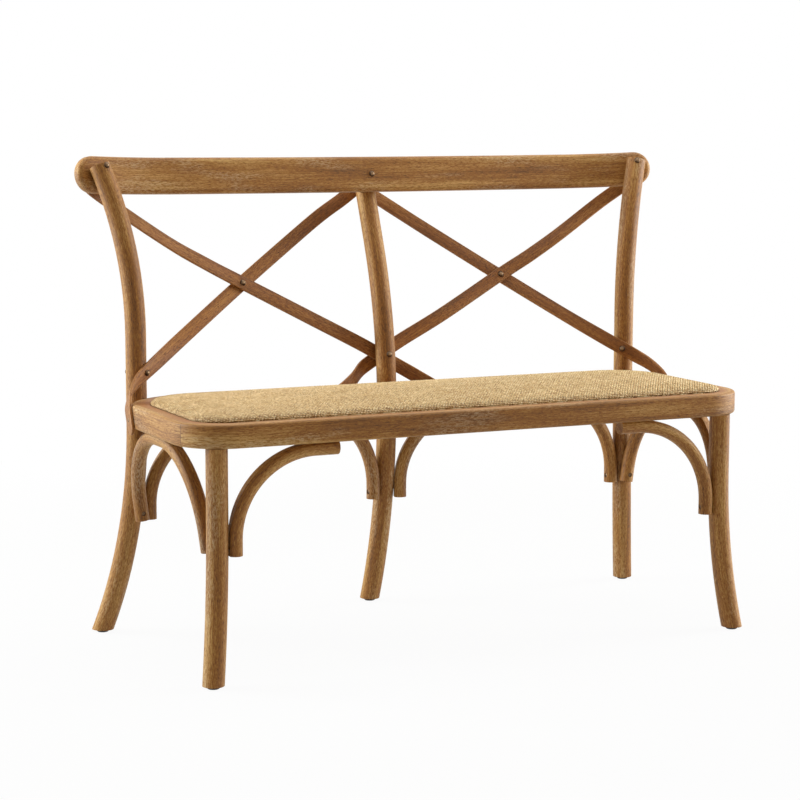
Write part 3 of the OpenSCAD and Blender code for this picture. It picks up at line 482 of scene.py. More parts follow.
def weaving_tree():
    """Parallel strands that wave over and under, laid on a crown and rolled down round its edge."""
    tree, b, given = geometry_tree("weaving", [
        ("Length", "Float", 1.1), ("Span", "Float", 0.4), ("Step", "Float", 0.003),
        ("Spacing", "Float", 0.004), ("Turn", "Float", 0.0), ("Phase", "Float", 0.0),
        ("Width", "Float", 0.003), ("Rise", "Float", 0.0006), ("Centre Y", "Float", 0.0),
        ("Edge Z", "Float", 0.45), ("Roll", "Float", 0.015), ("Drop", "Float", 0.009),
        ("Reach", "Float", 0.02), ("Wander", "Float", 0.0002), ("Seed", "Int", 1),
        ("Material", "Material", None)])

    def store(geometry, name, value, kind="FLOAT"):
        return b.add("GeometryNodeStoreNamedAttribute", {"data_type": kind, "domain": "POINT"}, {
            "Geometry": geometry, "Name": name, "Value": value})[0]

    half = given["Length"] * 0.5
    line = b.add("GeometryNodeCurvePrimitiveLine", None, {
        "Start": b.vector(half * -1.0, 0.0, 0.0), "End": b.vector(half, 0.0, 0.0)})[0]
    count = b.add("FunctionNodeFloatToInt", None, (given["Length"] / given["Step"] + 1.0,))[0]
    line = b.add("GeometryNodeResampleCurve", None, {"Curve": line, "Count": count})[0]
    rows = b.add("FunctionNodeFloatToInt", None, (given["Span"] / given["Spacing"] + 1.0,))[0]
    posts = b.add("GeometryNodeMeshLine", {"mode": "OFFSET"}, {
        "Count": rows, "Start Location": b.vector(0.0, given["Span"] * -0.5, 0.0),
        "Offset": b.vector(0.0, given["Spacing"], 0.0)})[0]
    strands = b.add("GeometryNodeInstanceOnPoints", None, {"Points": posts, "Instance": line})[0]
    strands = b.add("GeometryNodeRealizeInstances", None, {"Geometry": strands})[0]
    spot = b.parts(b.add("GeometryNodeInputPosition")[0])
    column = spot[0].maths("ROUND", (spot[0] + half) / given["Step"])
    row = spot[1].maths("ROUND", (spot[1] + given["Span"] * 0.5) / given["Spacing"])
    over = row.maths("MODULO", column + row + given["Phase"], 2.0)
    tint = b.random({"ID": row, "Seed": given["Seed"]})
    fleck = b.random({"Seed": given["Seed"] + 5.0})
    # Painted shade: the over share lightens a strand where it passes over and darkens it where it dips under.
    strands = store(strands, "tint", tint * 0.1 + fleck * 0.46 + over * 0.44)
    strands = store(strands, "over", over)
    wander = b.random({2: given["Wander"] * -1.0, 3: given["Wander"], "Seed": given["Seed"]})
    strands = b.add("GeometryNodeSetPosition", None, {
        "Geometry": strands, "Offset": b.vector(0.0, wander, 0.0)})[0]
    strands = b.add("GeometryNodeTransform", None, {
        "Geometry": strands, "Rotation": b.vector(0.0, 0.0, given["Turn"]),
        "Translation": b.vector(0.0, given["Centre Y"], 0.0)})[0]
    here = b.parts(b.add("GeometryNodeInputPosition")[0])
    above, beside = b.vector(here[0], here[1], 1.0), b.vector(here[0], here[1], given["Edge Z"])
    drop = b.add("GeometryNodeRaycast", None, {
        "Target Geometry": given["Geometry"], "Source Position": above, "Ray Direction": (0.0, 0.0, -1.0),
        "Ray Length": 2.0})
    edge = b.add("GeometryNodeProximity", {"target_element": "FACES"}, {
        "Geometry": given["Geometry"], "Sample Position": beside})[0]
    out = b.vectors("SUBTRACT", beside, edge)
    past = b.add("ShaderNodeVectorMath", {"operation": "LENGTH"}, (out,))[1]
    out = b.vectors("NORMALIZE", out)
    turned = past / given["Reach"] * (math.pi / 2)
    sine, cosine = turned.maths("SINE", turned), turned.maths("COSINE", turned)
    rolled = b.vectors("ADD", b.vectors("ADD", edge, b.times(out, given["Roll"] * sine)),
                       b.vector(0.0, 0.0, given["Drop"] * (cosine - 1.0)))
    faced = b.vectors("ADD", b.times(out, given["Drop"] * sine), b.vector(0.0, 0.0, given["Roll"] * cosine))
    faced = b.vectors("NORMALIZE", faced)
    place = b.add("GeometryNodeSwitch", {"input_type": "VECTOR"}, (drop[0], rolled, drop[1]))[0]
    facing = b.add("GeometryNodeSwitch", {"input_type": "VECTOR"}, (drop[0], faced, drop[2]))[0]
    off = b.add("FunctionNodeBooleanMath", {"operation": "NOT"}, (drop[0],))[0]
    far = b.add("FunctionNodeCompare", {"data_type": "FLOAT", "operation": "GREATER_THAN"}, {
        0: past, 1: given["Reach"]})[0]
    off = b.add("FunctionNodeBooleanMath", {"operation": "AND"}, (off, far))[0]
    strands = b.add("GeometryNodeDeleteGeometry", {"domain": "POINT"}, {
        "Geometry": strands, "Selection": off})[0]
    strands = store(strands, "facing", facing, "FLOAT_VECTOR")
    facing = b.stored("facing", "FLOAT_VECTOR")
    lift = b.times(facing, (b.stored("over") * 2.0 - 1.0) * given["Rise"])
    strands = b.add("GeometryNodeSetPosition", None, {
        "Geometry": strands, "Position": b.vectors("ADD", place, lift)})[0]
    strands = b.add("GeometryNodeSetCurveNormal", {"mode": "FREE"}, {"Curve": strands, "Normal": facing})[0]
    bow = b.add("GeometryNodeCurveQuadraticBezier", None, {
        "Resolution": 2, "Start": b.vector(0.0, given["Width"] * -0.5, 0.0),
        "Middle": b.vector(given["Width"] * 0.36, 0.0, 0.0),
        "End": b.vector(0.0, given["Width"] * 0.5, 0.0)})[0]
    skinned = b.add("GeometryNodeCurveToMesh", None, {"Curve": strands, "Profile Curve": bow})[0]
    skinned = b.add("GeometryNodeSetShadeSmooth", None, {"Geometry": skinned})[0]
    for name in ("facing", "over"):
        skinned = b.add("GeometryNodeRemoveAttribute", None, {"Geometry": skinned, "Name": name})[0]
    end_tree(b, skinned, given["Material"])
    return tree


crown_rings = former_rings(WEAVE_MID)[ROLL_STEPS:]
around, last = len(crown_rings[0]), len(crown_rings) - 1
crown_faces = [(i * around + j, i * around + (j + 1) % around, (i + 1) * around + (j + 1) % around,
                (i + 1) * around + j) for i in range(last) for j in range(around)]
crown_faces.append(tuple(last * around + j for j in range(around)))
crown_mesh = bpy.data.meshes.new("crown")
crown_mesh.from_pydata(np.concatenate(crown_rings).tolist(), [], crown_faces)
roll, drop = ROLL - WEAVE_MID, RISE - WEAVE_MID
reach = math.pi / 4 * math.sqrt(2 * (roll ** 2 + drop ** 2))
flat_in = RIM_GAP + ROLL
panel_w = SEAT_W + 2 * (reach - BORDER_SIDE - flat_in)
panel_d = SEAT_D - BORDER_FRONT - BORDER_REAR + 2 * (reach - flat_in)
panel_mid = LEG_LINE + (FRONT_EDGE + BORDER_FRONT + (SEAT_D - BORDER_FRONT - BORDER_REAR) / 2) * MM
shared = {"Rise": WAVE * MM, "Centre Y": panel_mid, "Edge Z": float(crown_rings[0][0][2]), "Roll": roll * MM,
          "Drop": drop * MM, "Reach": reach * MM, "Wander": WANDER * MM}
along = {"Length": panel_w * MM, "Span": panel_d * MM, "Step": ACROSS_PITCH * MM, "Spacing": ALONG_PITCH * MM,
         "Width": ALONG_STRAND * MM, "Seed": 11}
across = {"Length": panel_d * MM, "Span": panel_w * MM, "Step": ALONG_PITCH * MM,
          "Spacing": ACROSS_PITCH * MM, "Width": ACROSS_STRAND * MM, "Seed": 23, "Turn": math.pi / 2,
          "Phase": 1.0}
weaving = weaving_tree()
for name, values, material in (("weave_along", along, light_cane), ("weave_across", across, shaded_tan_cane)):
    strands = grown(name, crown_mesh, weaving, {**values, **shared, "Material": material}, material)
    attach(strands, "root")
    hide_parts("rattan_panel")

# Legs and posts: round poles of the ring's hardwood, steamed and bent. The feet splay out, the end posts rake
# out above the seat and the middle post leans back. The front legs are tenoned into the ring, and the posts
# are notched for the ring and the rail.

LEG_R, LEG_IN = 19.0, 57.0
FRONT_X = SEAT_W / 2 - LEG_IN
FRONT_TOP, FRONT_BEND, FRONT_SPLAY, FRONT_DIR = 431.0, 289.0, 33.0, math.radians(36.4)
REAR_BEND, END_SPLAY, END_DIR = 400.0, 88.4, math.radians(34.3)
RAKE_Z, END_TOP, RAKE, RAKE_DIR = 560.0, 867.0, 66.2, math.radians(49.0)
END_BASE = np.array([514.289, 376.014])
ROUNDED_FROM, ROUNDED_BY = END_TOP - 12.0, 2.2
MIDDLE_Y, MIDDLE_TOP, MIDDLE_SPLAY, MIDDLE_R, MIDDLE_LEAN = 401.5, 872.0, 82.0, 830.0, math.radians(22.0)


def standing_off(height, splay, z):
    """How far a bend is off the plumb line after z, when it is off by the splay after the height."""
    radius = (height * height + splay * splay) / (2 * splay)
    return radius - math.sqrt(max(radius * radius - z * z, 0.0))


def front_leg_at(z):
    off = standing_off(FRONT_BEND, FRONT_SPLAY, FRONT_BEND - z) if z < FRONT_BEND else 0.0
    return FRONT_X + off * math.sin(FRONT_DIR), -off * math.cos(FRONT_DIR), z


def end_post_at(z):
    low = standing_off(REAR_BEND, END_SPLAY, REAR_BEND - z) if z < REAR_BEND else 0.0
    high = standing_off(END_TOP - RAKE_Z, RAKE, z - RAKE_Z) if z > RAKE_Z else 0.0
    return (END_BASE[0] + low * math.sin(END_DIR) + high * math.sin(RAKE_DIR),
            END_BASE[1] + low * math.cos(END_DIR) + high * math.cos(RAKE_DIR), z)


def middle_post_at(z):
    top = REAR_BEND + MIDDLE_R * math.sin(MIDDLE_LEAN)
    if z < REAR_BEND:
        return 0.0, MIDDLE_Y + standing_off(REAR_BEND, MIDDLE_SPLAY, REAR_BEND - z), z
    if z < top:
        return 0.0, MIDDLE_Y + MIDDLE_R - math.sqrt(MIDDLE_R ** 2 - (z - REAR_BEND) ** 2), z
    return 0.0, MIDDLE_Y + MIDDLE_R * (1 - math.cos(MIDDLE_LEAN)) + (z - top) * math.tan(MIDDLE_LEAN), z


def fibres_of(spots, path, guide):
    """Place of each spot across, across and along the fibres that follow a path."""
    ahead = np.diff(path, axis=0)
    length = np.linalg.norm(ahead, axis=1)
    ahead /= length[:, None]
    start = run_along(path)
    best, values = np.full(len(spots), np.inf), np.zeros((len(spots), 3))
    for i, (p, t, l) in enumerate(zip(path[:-1], ahead, length)):
        along = (spots - p) @ t
        held = np.clip(along, -1.0 if i == 0 else 0.0, 10.0 if i == len(length) - 1 else l)
        away = spots - p - held[:, None] * t
        far = np.linalg.norm(away, axis=1)
        side = guide - (guide @ t) * t
        side /= np.linalg.norm(side)
        near = far < best
        best[near] = far[near]
        values[near] = np.stack([away @ side, away @ np.cross(t, side), start[i] + held], axis=1)[near]
    return values


def bent_piece(node, path, guide, name, shift, rounded_from=None):
    """A piece with the solid's own shape and joints, whose fibres follow its bends."""
    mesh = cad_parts[node].data.copy()
    mesh.name = name
    work = merged(mesh)
    if rounded_from is not None:
        low = rounded_from * MM
        joined = [e for e in work.edges if len(e.link_faces) == 2]
        flat = [e for e in joined if e.calc_face_angle(0) < 1e-3 and any(v.co.z > low for v in e.verts)]
        bmesh.ops.dissolve_edges(work, edges=flat, use_verts=False)
        joined = [e for e in work.edges if len(e.link_faces) == 2]
        sharp = [e for e in joined if e.calc_face_angle(0) > 1.0 and all(v.co.z > low for v in e.verts)]
        bmesh.ops.bevel(work, geom=sharp, offset=ROUNDED_BY * MM, segments=3, profile=0.5, affect="EDGES",
                        clamp_overlap=True)
    work.to_mesh(mesh)
    work.free()
    if "custom_normal" in mesh.attributes:
        mesh.attributes.remove(mesh.attributes["custom_normal"])
    spots = np.zeros(len(mesh.vertices) * 3)
    mesh.vertices.foreach_get("co", spots)
    values = fibres_of(spots.reshape(-1, 3), path, np.array(guide, float)) + np.array(shift)
    grain = mesh.attributes.new("grain", "FLOAT_VECTOR", "POINT")
    grain.data.foreach_set("vector", values.astype(np.float32).ravel())
    piece = finish_mesh(name, mesh, timber)
    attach(piece, "root")
    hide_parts(node)


def mirrored(path, side):
    return np.asarray(path, float) * np.array([side, 1.0, 1.0])


SIDES = (("left", -1.0), ("right", 1.0))
for label, side in SIDES:
    leg_line = at_bench(mirrored([front_leg_at(z) for z in np.linspace(0, FRONT_TOP, 40)], side))
    bent_piece(f"front_leg_{label}", leg_line, (1, 0, 0), f"front_leg_wood_{label}", (0.31 * side, 0.2, 3.0))
    post_line = at_bench(mirrored([end_post_at(z) for z in np.linspace(0, END_TOP, 90)], side))
    bent_piece(f"end_post_{label}", post_line, (1, 0, 0), f"end_post_wood_{label}", (0.11 * side, 0.4, 5.0),
               ROUNDED_FROM)
post_line = at_bench([middle_post_at(z) for z in np.linspace(0, MIDDLE_TOP, 80)])
bent_piece("middle_post", post_line, (1, 0, 0), "middle_post_wood", (0.6, 0.1, 8.0))

# The crest rail: a broad hardwood rail, bent forward at its rounded ends and tilted back with the posts.
# It lies in notches of the posts and is held by a stud from each.

RAIL_W, RAIL_T, RAIL_Y, RAIL_Z, RAIL_TILT = 1211.0, 24.0, 482.358, 843.0, math.radians(9.0)
RAIL_LONG_R, RAIL_LONG_HALF, RAIL_END_R = 8400.0, 420.0, 555.0
rail_turn = math.asin(RAIL_LONG_HALF / RAIL_LONG_R)


def rail_sag(x):
    """How far the rail has come forward at a distance from its middle, in its own plane."""
    if x < RAIL_LONG_HALF:
        return RAIL_LONG_R - math.sqrt(RAIL_LONG_R ** 2 - x * x)
    turn = math.asin(min(math.sin(rail_turn) + (x - RAIL_LONG_HALF) / RAIL_END_R, 1.0))
    return RAIL_LONG_R * (1 - math.cos(rail_turn)) + RAIL_END_R * (math.cos(rail_turn) - math.cos(turn))


def rail_at(x):
    sag = rail_sag(abs(x))
    return x, RAIL_Y - sag * math.cos(RAIL_TILT), RAIL_Z + sag * math.sin(RAIL_TILT)


rail_line = at_bench([rail_at(x) for x in np.linspace(-RAIL_W / 2, RAIL_W / 2, 121)])
bent_piece("crest_rail", rail_line, (0, 0, 1), "crest_rail_wood", (0.9, 0.7, 11.0))

# Hoops and braces: round sticks, steamed, bent and planed flat on the outside of the bend. A hoop runs from
# the front leg to the end post under each side of the ring, and quarter bends from every leg and post in
# under the ring. Screws run through them into the wood that the flat lies against.

ARM_W, ARM_T, ARM_R, FOOT_L, TAIL_L = 26.0, 24.0, 159.0, 26.4, 41.0
# The gap between pieces that meet, and how far above the start of its bend a brace touches a post
FIT, ARM_TOUCH = 0.3, 14.0
ARM_SLACK = ARM_R - math.sqrt(ARM_R ** 2 - ARM_TOUCH ** 2)
UNDER = SEAT_TOP - SEAT_T
ARM_Z = UNDER - ARM_R
FRONT_ARM_Y, END_ARM_TURN, MIDDLE_ARM_TURN = -4.0, math.radians(189), math.radians(-17)
HOOP_TILT, HOOP_OUT, HOOP_REAR_IN = math.radians(7.8), 8.5, 3.0


def arm_line(span=None):
    """Middle line of a brace, up its foot, round the bend and along its tail, or of a whole hoop."""
    half = ARM_R + TAIL_L if span is None else span / 2
    line = [(ARM_T / 2, 0.0, z) for z in np.linspace(-FOOT_L, 0, 4)]
    inner = ARM_R - ARM_T / 2
    for a in np.linspace(0.04, math.pi / 2, 40):
        line.append((ARM_R - inner * math.cos(a), 0.0, inner * math.sin(a)))
    line += [(x, 0.0, inner) for x in np.linspace(ARM_R, half, 5)[1:]]
    if span is not None:
        line += [(span - x, y, z) for x, y, z in line[-2::-1]]
    return line


def placed_arm(turns, side, span=None):
    return at_bench(mirrored([tuple(turns @ Vector(p)) for p in arm_line(span)], side))


def width_of(turns, side):
    """The direction across the plane of a brace's bend."""
    level = turns.to_3x3() @ Vector((0, 1, 0))
    return level.x * side, level.y, level.z


def beside_post(post, turn):
    """The place of a brace that stands against a round post and is turned about it."""
    return (Matrix.Translation((post[0], post[1], ARM_Z)) @ Matrix.Rotation(turn, 4, "Z")
            @ Matrix.Translation((LEG_R + FIT - ARM_SLACK, 0, 0)))


front_turns = Matrix.Translation((FRONT_X - LEG_R - FIT, FRONT_ARM_Y, ARM_Z)) @ Matrix.Scale(-1, 4, (1, 0, 0))
end_turns = beside_post(end_post_at(ARM_Z + ARM_TOUCH), END_ARM_TURN)
middle_turns = beside_post(middle_post_at(ARM_Z + ARM_TOUCH), MIDDLE_ARM_TURN)
hoop_z = UNDER - ARM_R * math.cos(HOOP_TILT) + ARM_W / 2 * math.sin(HOOP_TILT)
hoop_front = np.array([FRONT_X + HOOP_OUT, LEG_R + FIT])
hoop_rear = np.array(end_post_at(hoop_z + ARM_TOUCH)[:2]) - np.array([HOOP_REAR_IN, LEG_R + FIT - ARM_SLACK])
hoop_span = float(np.linalg.norm(hoop_rear - hoop_front))
hoop_yaw = math.atan2(hoop_rear[0] - hoop_front[0], hoop_rear[1] - hoop_front[1])
hoop_turns = (Matrix.Translation((hoop_front[0], hoop_front[1], hoop_z))
              @ Matrix.Rotation(math.pi / 2 - hoop_yaw, 4, "Z") @ Matrix.Rotation(HOOP_TILT, 4, "X"))
for label, side in SIDES:
    for k, (kind, turns) in enumerate((("front", front_turns), ("end", end_turns), ("middle", middle_turns))):
        bent_piece(f"{kind}_bracket_{label}", placed_arm(turns, side), width_of(turns, side),
                   f"{kind}_brace_wood_{label}", (0.2 * k * side, 0.3 + 0.1 * k, 14.0 + k))
    bent_piece(f"side_hoop_{label}", placed_arm(hoop_turns, side, hoop_span), width_of(hoop_turns, side),
               f"side_hoop_wood_{label}", (0.5 * side, 0.9, 20.0))

# The back straps: four thin laths, bent and twisted, of redder wood. In each bay one climbs from behind the
# seat past the middle post to the end of the rail, and one falls from the middle post past the end post to
# the side of the ring.

STRAP_W, STRAP_T, STRAP_EDGE, STRAP_STEPS = 26.5, 5.0, 1.1, 9
LAYER = STRAP_T + 3 * FIT
LOW_Z, HIGH_Z, TOP_Z, RIVET_Z, BOLT_Z = 495.0, 822.0, 822.0, 493.0, 420.0
CROSS_SHIFT, CROSS_BOW, CROSS_LEAN = 11.0, 25.0, 23.0
SEAT_REAR = FRONT_EDGE + SEAT_D


def rail_back(x, z):
    """How far back the rear face of the rail's bent end is."""
    turn = math.asin(math.sin(rail_turn) + (x - RAIL_LONG_HALF) / RAIL_END_R)
    return (RAIL_Y - rail_sag(x) * math.cos(RAIL_TILT) + RAIL_T / 2 / math.cos(turn)
            + (z - RAIL_Z - rail_sag(x) * math.sin(RAIL_TILT)) * math.tan(RAIL_TILT))


TIP_IN, TIP_RUN, TIP_RISE, LOW_X, LOW_DROP = 24.0, 16.9, 19.0, 128.0, 29.0
tip_x = RAIL_W / 2 - TIP_IN
out_x = tip_x - TIP_RUN
strap_front = math.radians(32)
post_front = END_BASE - (LEG_R + FIT + STRAP_T) * np.array([math.sin(strap_front), math.cos(strap_front)])
reach_back = LEG_R / math.cos(MIDDLE_LEAN)
chord_low = np.array([0, middle_post_at(LOW_Z)[1] + LEG_R + FIT + LAYER / 2, LOW_Z])
chord_out = np.array([out_x, rail_back(out_x, TOP_Z) + 1, TOP_Z])
chord_high = np.array([0, middle_post_at(HIGH_Z)[1] + reach_back + FIT + LAYER / 2, HIGH_Z])
chord_post = np.array([post_front[0], post_front[1], RIVET_Z])
climb, fall = (chord_out[2] - chord_low[2]) / chord_out[0], (chord_high[2] - chord_post[2]) / chord_post[0]
cross_x = (chord_high[2] - chord_low[2]) / (climb + fall) + CROSS_SHIFT
cross_rear = chord_high + cross_x / chord_post[0] * (chord_post - chord_high) + np.array([0, CROSS_BOW, 0])


def bowed(a, b, share, back, up):
    """A point on the chord from a to b, moved back and up by as much as the strap bows there."""
    return a + share * (b - a) + np.array([0, back, up])


before, after = bowed(chord_low, chord_out, 0.25, 1, -5), bowed(chord_low, chord_out, 0.61, 13.5, -14)
cross_lean = math.radians(CROSS_LEAN)
facing = np.cross([0, math.sin(cross_lean), math.cos(cross_lean)], after - before)
cross_front = cross_rear - (STRAP_T + 2 * FIT) * facing / np.linalg.norm(facing)


def front_strap_keys(lift):
    """Points along the middle of the strap's front face, each with the lean of its width in degrees."""
    low = SEAT_TOP - LOW_DROP
    behind_seat = [(-LOW_X, SEAT_REAR + 0.5, low, 0), (30 - LOW_X, SEAT_REAR + 2.2, low + 16.5, 0),
                   (60 - LOW_X, SEAT_REAR + 13, low + 35, 3),
                   (92 - LOW_X, chord_low[1] + lift - 3, LOW_Z - 22, 6), (0, chord_low[1] + lift, LOW_Z, 8)]
    up_the_bay = [(*bowed(chord_low, chord_out, 0.08, 1.7 + 1.25 * lift, 0), 12), (*before, 17),
                  (*cross_front, CROSS_LEAN), (*after, 29), (*bowed(chord_low, chord_out, 0.73, 17, -14), 34),
                  (*bowed(chord_low, chord_out, 0.9, 14, -6), 30)]
    on_rail = [(*chord_out, 16), (tip_x, rail_back(tip_x, TOP_Z + TIP_RISE) + 1, TOP_Z + TIP_RISE, 10)]
    return behind_seat + up_the_bay + on_rail


def rear_strap_keys(lift):
    """The same for the strap that falls from the middle post."""
    def fallen(share, back, lean):
        return *bowed(chord_high, chord_post, share, back, 0), lean

    x, y, z = chord_post
    side = SEAT_W / 2
    on_middle_post = [(-24, chord_high[1] + 9 + 2.4 * lift, HIGH_Z + 15.5, 22),
                      (0, chord_high[1] + lift, HIGH_Z, 22)]
    down_the_bay = [fallen(0.08, 9.5 + 1.8 * lift, 22), fallen(0.17, 20, 23), fallen(0.3, 24.5, 23),
                    (*cross_rear, CROSS_LEAN), fallen(0.8, 16.5, 24), fallen(0.93, 7, 14)]
    round_post = [(x, y, z, 0), (x + 12.5, y - 7.5, z - 8.5, -5), (x + 24, y - 16.5, z - 17, -15)]
    down_the_ring = [(side - 20, y - 29, SEAT_TOP + 21, -30), (side - 10, y - 44, SEAT_TOP + 10, -50),
                     (side - 2, y - 62, SEAT_TOP - 5, -72), (side + FIT, y - 76, BOLT_Z, -88),
                     (side + FIT, y - 83, UNDER + 2, -90)]
    return on_middle_post + down_the_bay + round_post + down_the_ring


def smooth_line(keys):
    """The smooth curve through the keys, with the lean at each of its points."""
    keys, out = np.array(keys, float), []
    last = len(keys) - 1
    for i in range(last):
        a, b, c, d = keys[max(i - 1, 0)], keys[i], keys[i + 1], keys[min(i + 2, last)]
        for f in np.arange(STRAP_STEPS) / STRAP_STEPS:
            out.append((2 * b + f * (c - a) + f * f * (2 * a - 5 * b + 4 * c - d)
                        + f ** 3 * (3 * b - a - 3 * c + d)) / 2)
    return np.array(out + [keys[last]])


strap_timber = oiled_wood("lath timber", srgb(84, 46, 14), srgb(138, 84, 33), srgb(182, 128, 66),
                          srgb(200, 162, 106), 0.15)
section, section_wear = rounded_section(STRAP_T, STRAP_W, (STRAP_EDGE,) * 4, steps=3)
ROUND_TIP = np.radians([90, 78, 64, 48, 32, 16])


def strap(name, node, keys, side, shift):
    """A lath through its keys, with rounded tips and its grain along it."""
    line = smooth_line(keys)
    points, lean = line[:, :3], np.radians(line[:, 3])
    ahead = np.gradient(points, axis=0)
    ahead /= np.linalg.norm(ahead, axis=1)[:, None]
    rise = np.stack([np.zeros(len(lean)), np.sin(lean), np.cos(lean)], axis=1)
    rise -= (rise * ahead).sum(axis=1)[:, None] * ahead
    rise /= np.linalg.norm(rise, axis=1)[:, None]
    back = np.cross(rise, ahead)
    run, last = run_along(points), len(points) - 1
    stops = [(0, -t) for t in ROUND_TIP] + [(i, 0.0) for i in range(last + 1)]
    stops += [(last, t) for t in ROUND_TIP[::-1]]
    rings, grain, wear = [], [], []
    for i, t in stops:
        middle = points[i] + STRAP_T / 2 * back[i]
        ring, fibre = [], []
        for u, v in section:
            on = abs(v) * math.sin(t)
            ring.append(middle + u * back[i] + v * math.cos(t) * rise[i] + on * ahead[i])
            fibre.append((u * MM + shift, v * math.cos(t) * MM, (run[i] + on) * MM + 7 * shift))
        rings.append(at_bench(mirrored(ring, side)))
        grain.append(fibre)
        wear.append(section_wear)
    piece = skin(name, rings, grain, wear, strap_timber, sharp=50.0)
    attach(piece, "root")
    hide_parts(node)


for label, side in SIDES:
    lift = side * LAYER / 2
    strap(f"front_strap_wood_{label}", f"front_strap_{label}", front_strap_keys(lift), side, 1.3 + side)
    strap(f"rear_strap_wood_{label}", f"rear_strap_{label}", rear_strap_keys(lift), side, 4.1 + side)

# Rivets, screws and bolts: domed studs and rivets hold the straps and the rail, flat-headed screws the braces
# and the strap ends, and round-headed bolts the posts to the ring. Their bronze plating is dark, and rubbed
# bright on the crowns.

DOME_R, DOME_H, DOME_LIP = 6.0, 4.0, 0.4
SCREW_H, STRAP_SCREW_UP = 2.4, 1.1
# An end is a head if it is this much wider than the shank, within this many heights of a head from the end
HEAD_WIDER, HEAD_ZONE = 1.3, 1.15
bronze, b = new_material("antiqued bronze")
tarnish = b.noise(b.place(), (260.0, 260.0, 260.0), detail=4.0, roughness=0.6)
colour = b.ramp(tarnish, (0.35, srgb(46, 34, 26)), (0.65, srgb(104, 80, 58)))
colour = b.mix(b.on_mesh("crown")[2].clear(0.55, 1.0) * 0.6, colour, srgb(150, 122, 92))
b.surface(Base_Color=colour, Metallic=0.85 + tarnish * 0.1, Roughness=0.3 + tarnish * 0.25,
          Normal=b.bump(tarnish, 0.3, 0.0003))


def turned_head(name, profile, segments=28, cross=None):
    """A head turned from a profile of radius and height, with a cross recess where one is given."""
    work = bmesh.new()
    turns = [2 * math.pi * i / segments for i in range(segments)]
    rows = [[work.verts.new((radius * math.cos(a), radius * math.sin(a), height))
             for a in (turns if radius else turns[:1])] for radius, height in profile]
    for low, high in zip(rows, rows[1:]):
        for i in range(segments):
            k = (i + 1) % segments
            if len(high) == 1:
                work.faces.new((low[i], low[k], high[0]))
            elif len(low) == 1:
                work.faces.new((low[0], high[k], high[i]))
            else:
                work.faces.new((low[i], low[k], high[k], high[i]))
    bmesh.ops.recalc_face_normals(work, faces=work.faces)
    mesh = bpy.data.meshes.new(name)
    work.to_mesh(mesh)
    work.free()
    head = set_out(name, mesh)
    if cross:
        length, width, top, depth = cross
        cutter_work = bmesh.new()
        for turn in (0, math.pi / 2):
            bmesh.ops.create_cube(cutter_work, size=1.0, matrix=(
                Matrix.Translation((0, 0, top)) @ Matrix.Rotation(turn, 4, "Z")
                @ Matrix.Diagonal((length, width, 2 * depth, 1))))
        cutter_mesh = bpy.data.meshes.new("cutter")
        cutter_work.to_mesh(cutter_mesh)
        cutter_work.free()
        cutter = set_out("cutter", cutter_mesh)
        modifier = head.modifiers.new("recess", "BOOLEAN")
        modifier.operation, modifier.object = "DIFFERENCE", cutter
        modifier.solver, modifier.use_self = "EXACT", True
        head.data = settled(head)
        head.modifiers.clear()
        bpy.data.objects.remove(cutter)
    mesh = head.data
    top_z = max(v.co.z for v in mesh.vertices)
    crown = mesh.attributes.new("crown", "FLOAT", "POINT")
    for i, v in enumerate(mesh.vertices):
        crown.data[i].value = max(v.co.z, 0.0) / top_z
    mesh.materials.append(bronze)
    mesh.shade_smooth()
    mesh.set_sharp_from_angle(angle=math.radians(38))
    return head


def dome_profile(radius, height, lip, steps=7):
    """Radius and height of points from the underside of a dome to its crown."""
    ball = (radius * radius + height * height) / (2 * height)
    edge = math.asin(radius / ball)
    arc = [(ball * math.sin(edge * (1 - i / steps)), height - ball + ball * math.cos(edge * (1 - i / steps)))
           for i in range(steps + 1)]
    arc[-1] = (0.0, height)
    return [(0.0, -lip), (radius * 0.98, -lip), (radius, -lip * 0.4)] + arc


def heads_tree():
    """A head on every point of a mesh, facing along the point's own direction, turned at random."""
    tree, b, given = geometry_tree("heads", [
        ("Head", "Object", None), ("Sink", "Float", 0.0), ("Seed", "Int", 5), ("Material", "Material", None)])
    facing = b.stored("facing", "FLOAT_VECTOR")
    turned = b.add("FunctionNodeAlignRotationToVector", {"axis": "Z"}, {"Vector": facing})[0]
    spin = b.random({2: 0.0, 3: 3.1, "Seed": given["Seed"]})
    spin = b.add("FunctionNodeEulerToRotation", None, (b.vector(0.0, 0.0, spin),))[0]
    turned = b.add("FunctionNodeRotateRotation", {"rotation_space": "LOCAL"}, (turned, spin))[0]
    sunk = b.times(facing, given["Sink"] * -1.0)
    points = b.add("GeometryNodeMeshToPoints", None, {"Mesh": given["Geometry"]})[0]
    points = b.add("GeometryNodeSetPosition", None, {"Geometry": points, "Offset": sunk})[0]
    shape = b.add("GeometryNodeObjectInfo", None, {"Object": given["Head"]})[4]
    heads = b.add("GeometryNodeInstanceOnPoints", None, {
        "Points": points, "Instance": shape, "Rotation": turned})[0]
    end_tree(b, heads, given["Material"])
    return tree


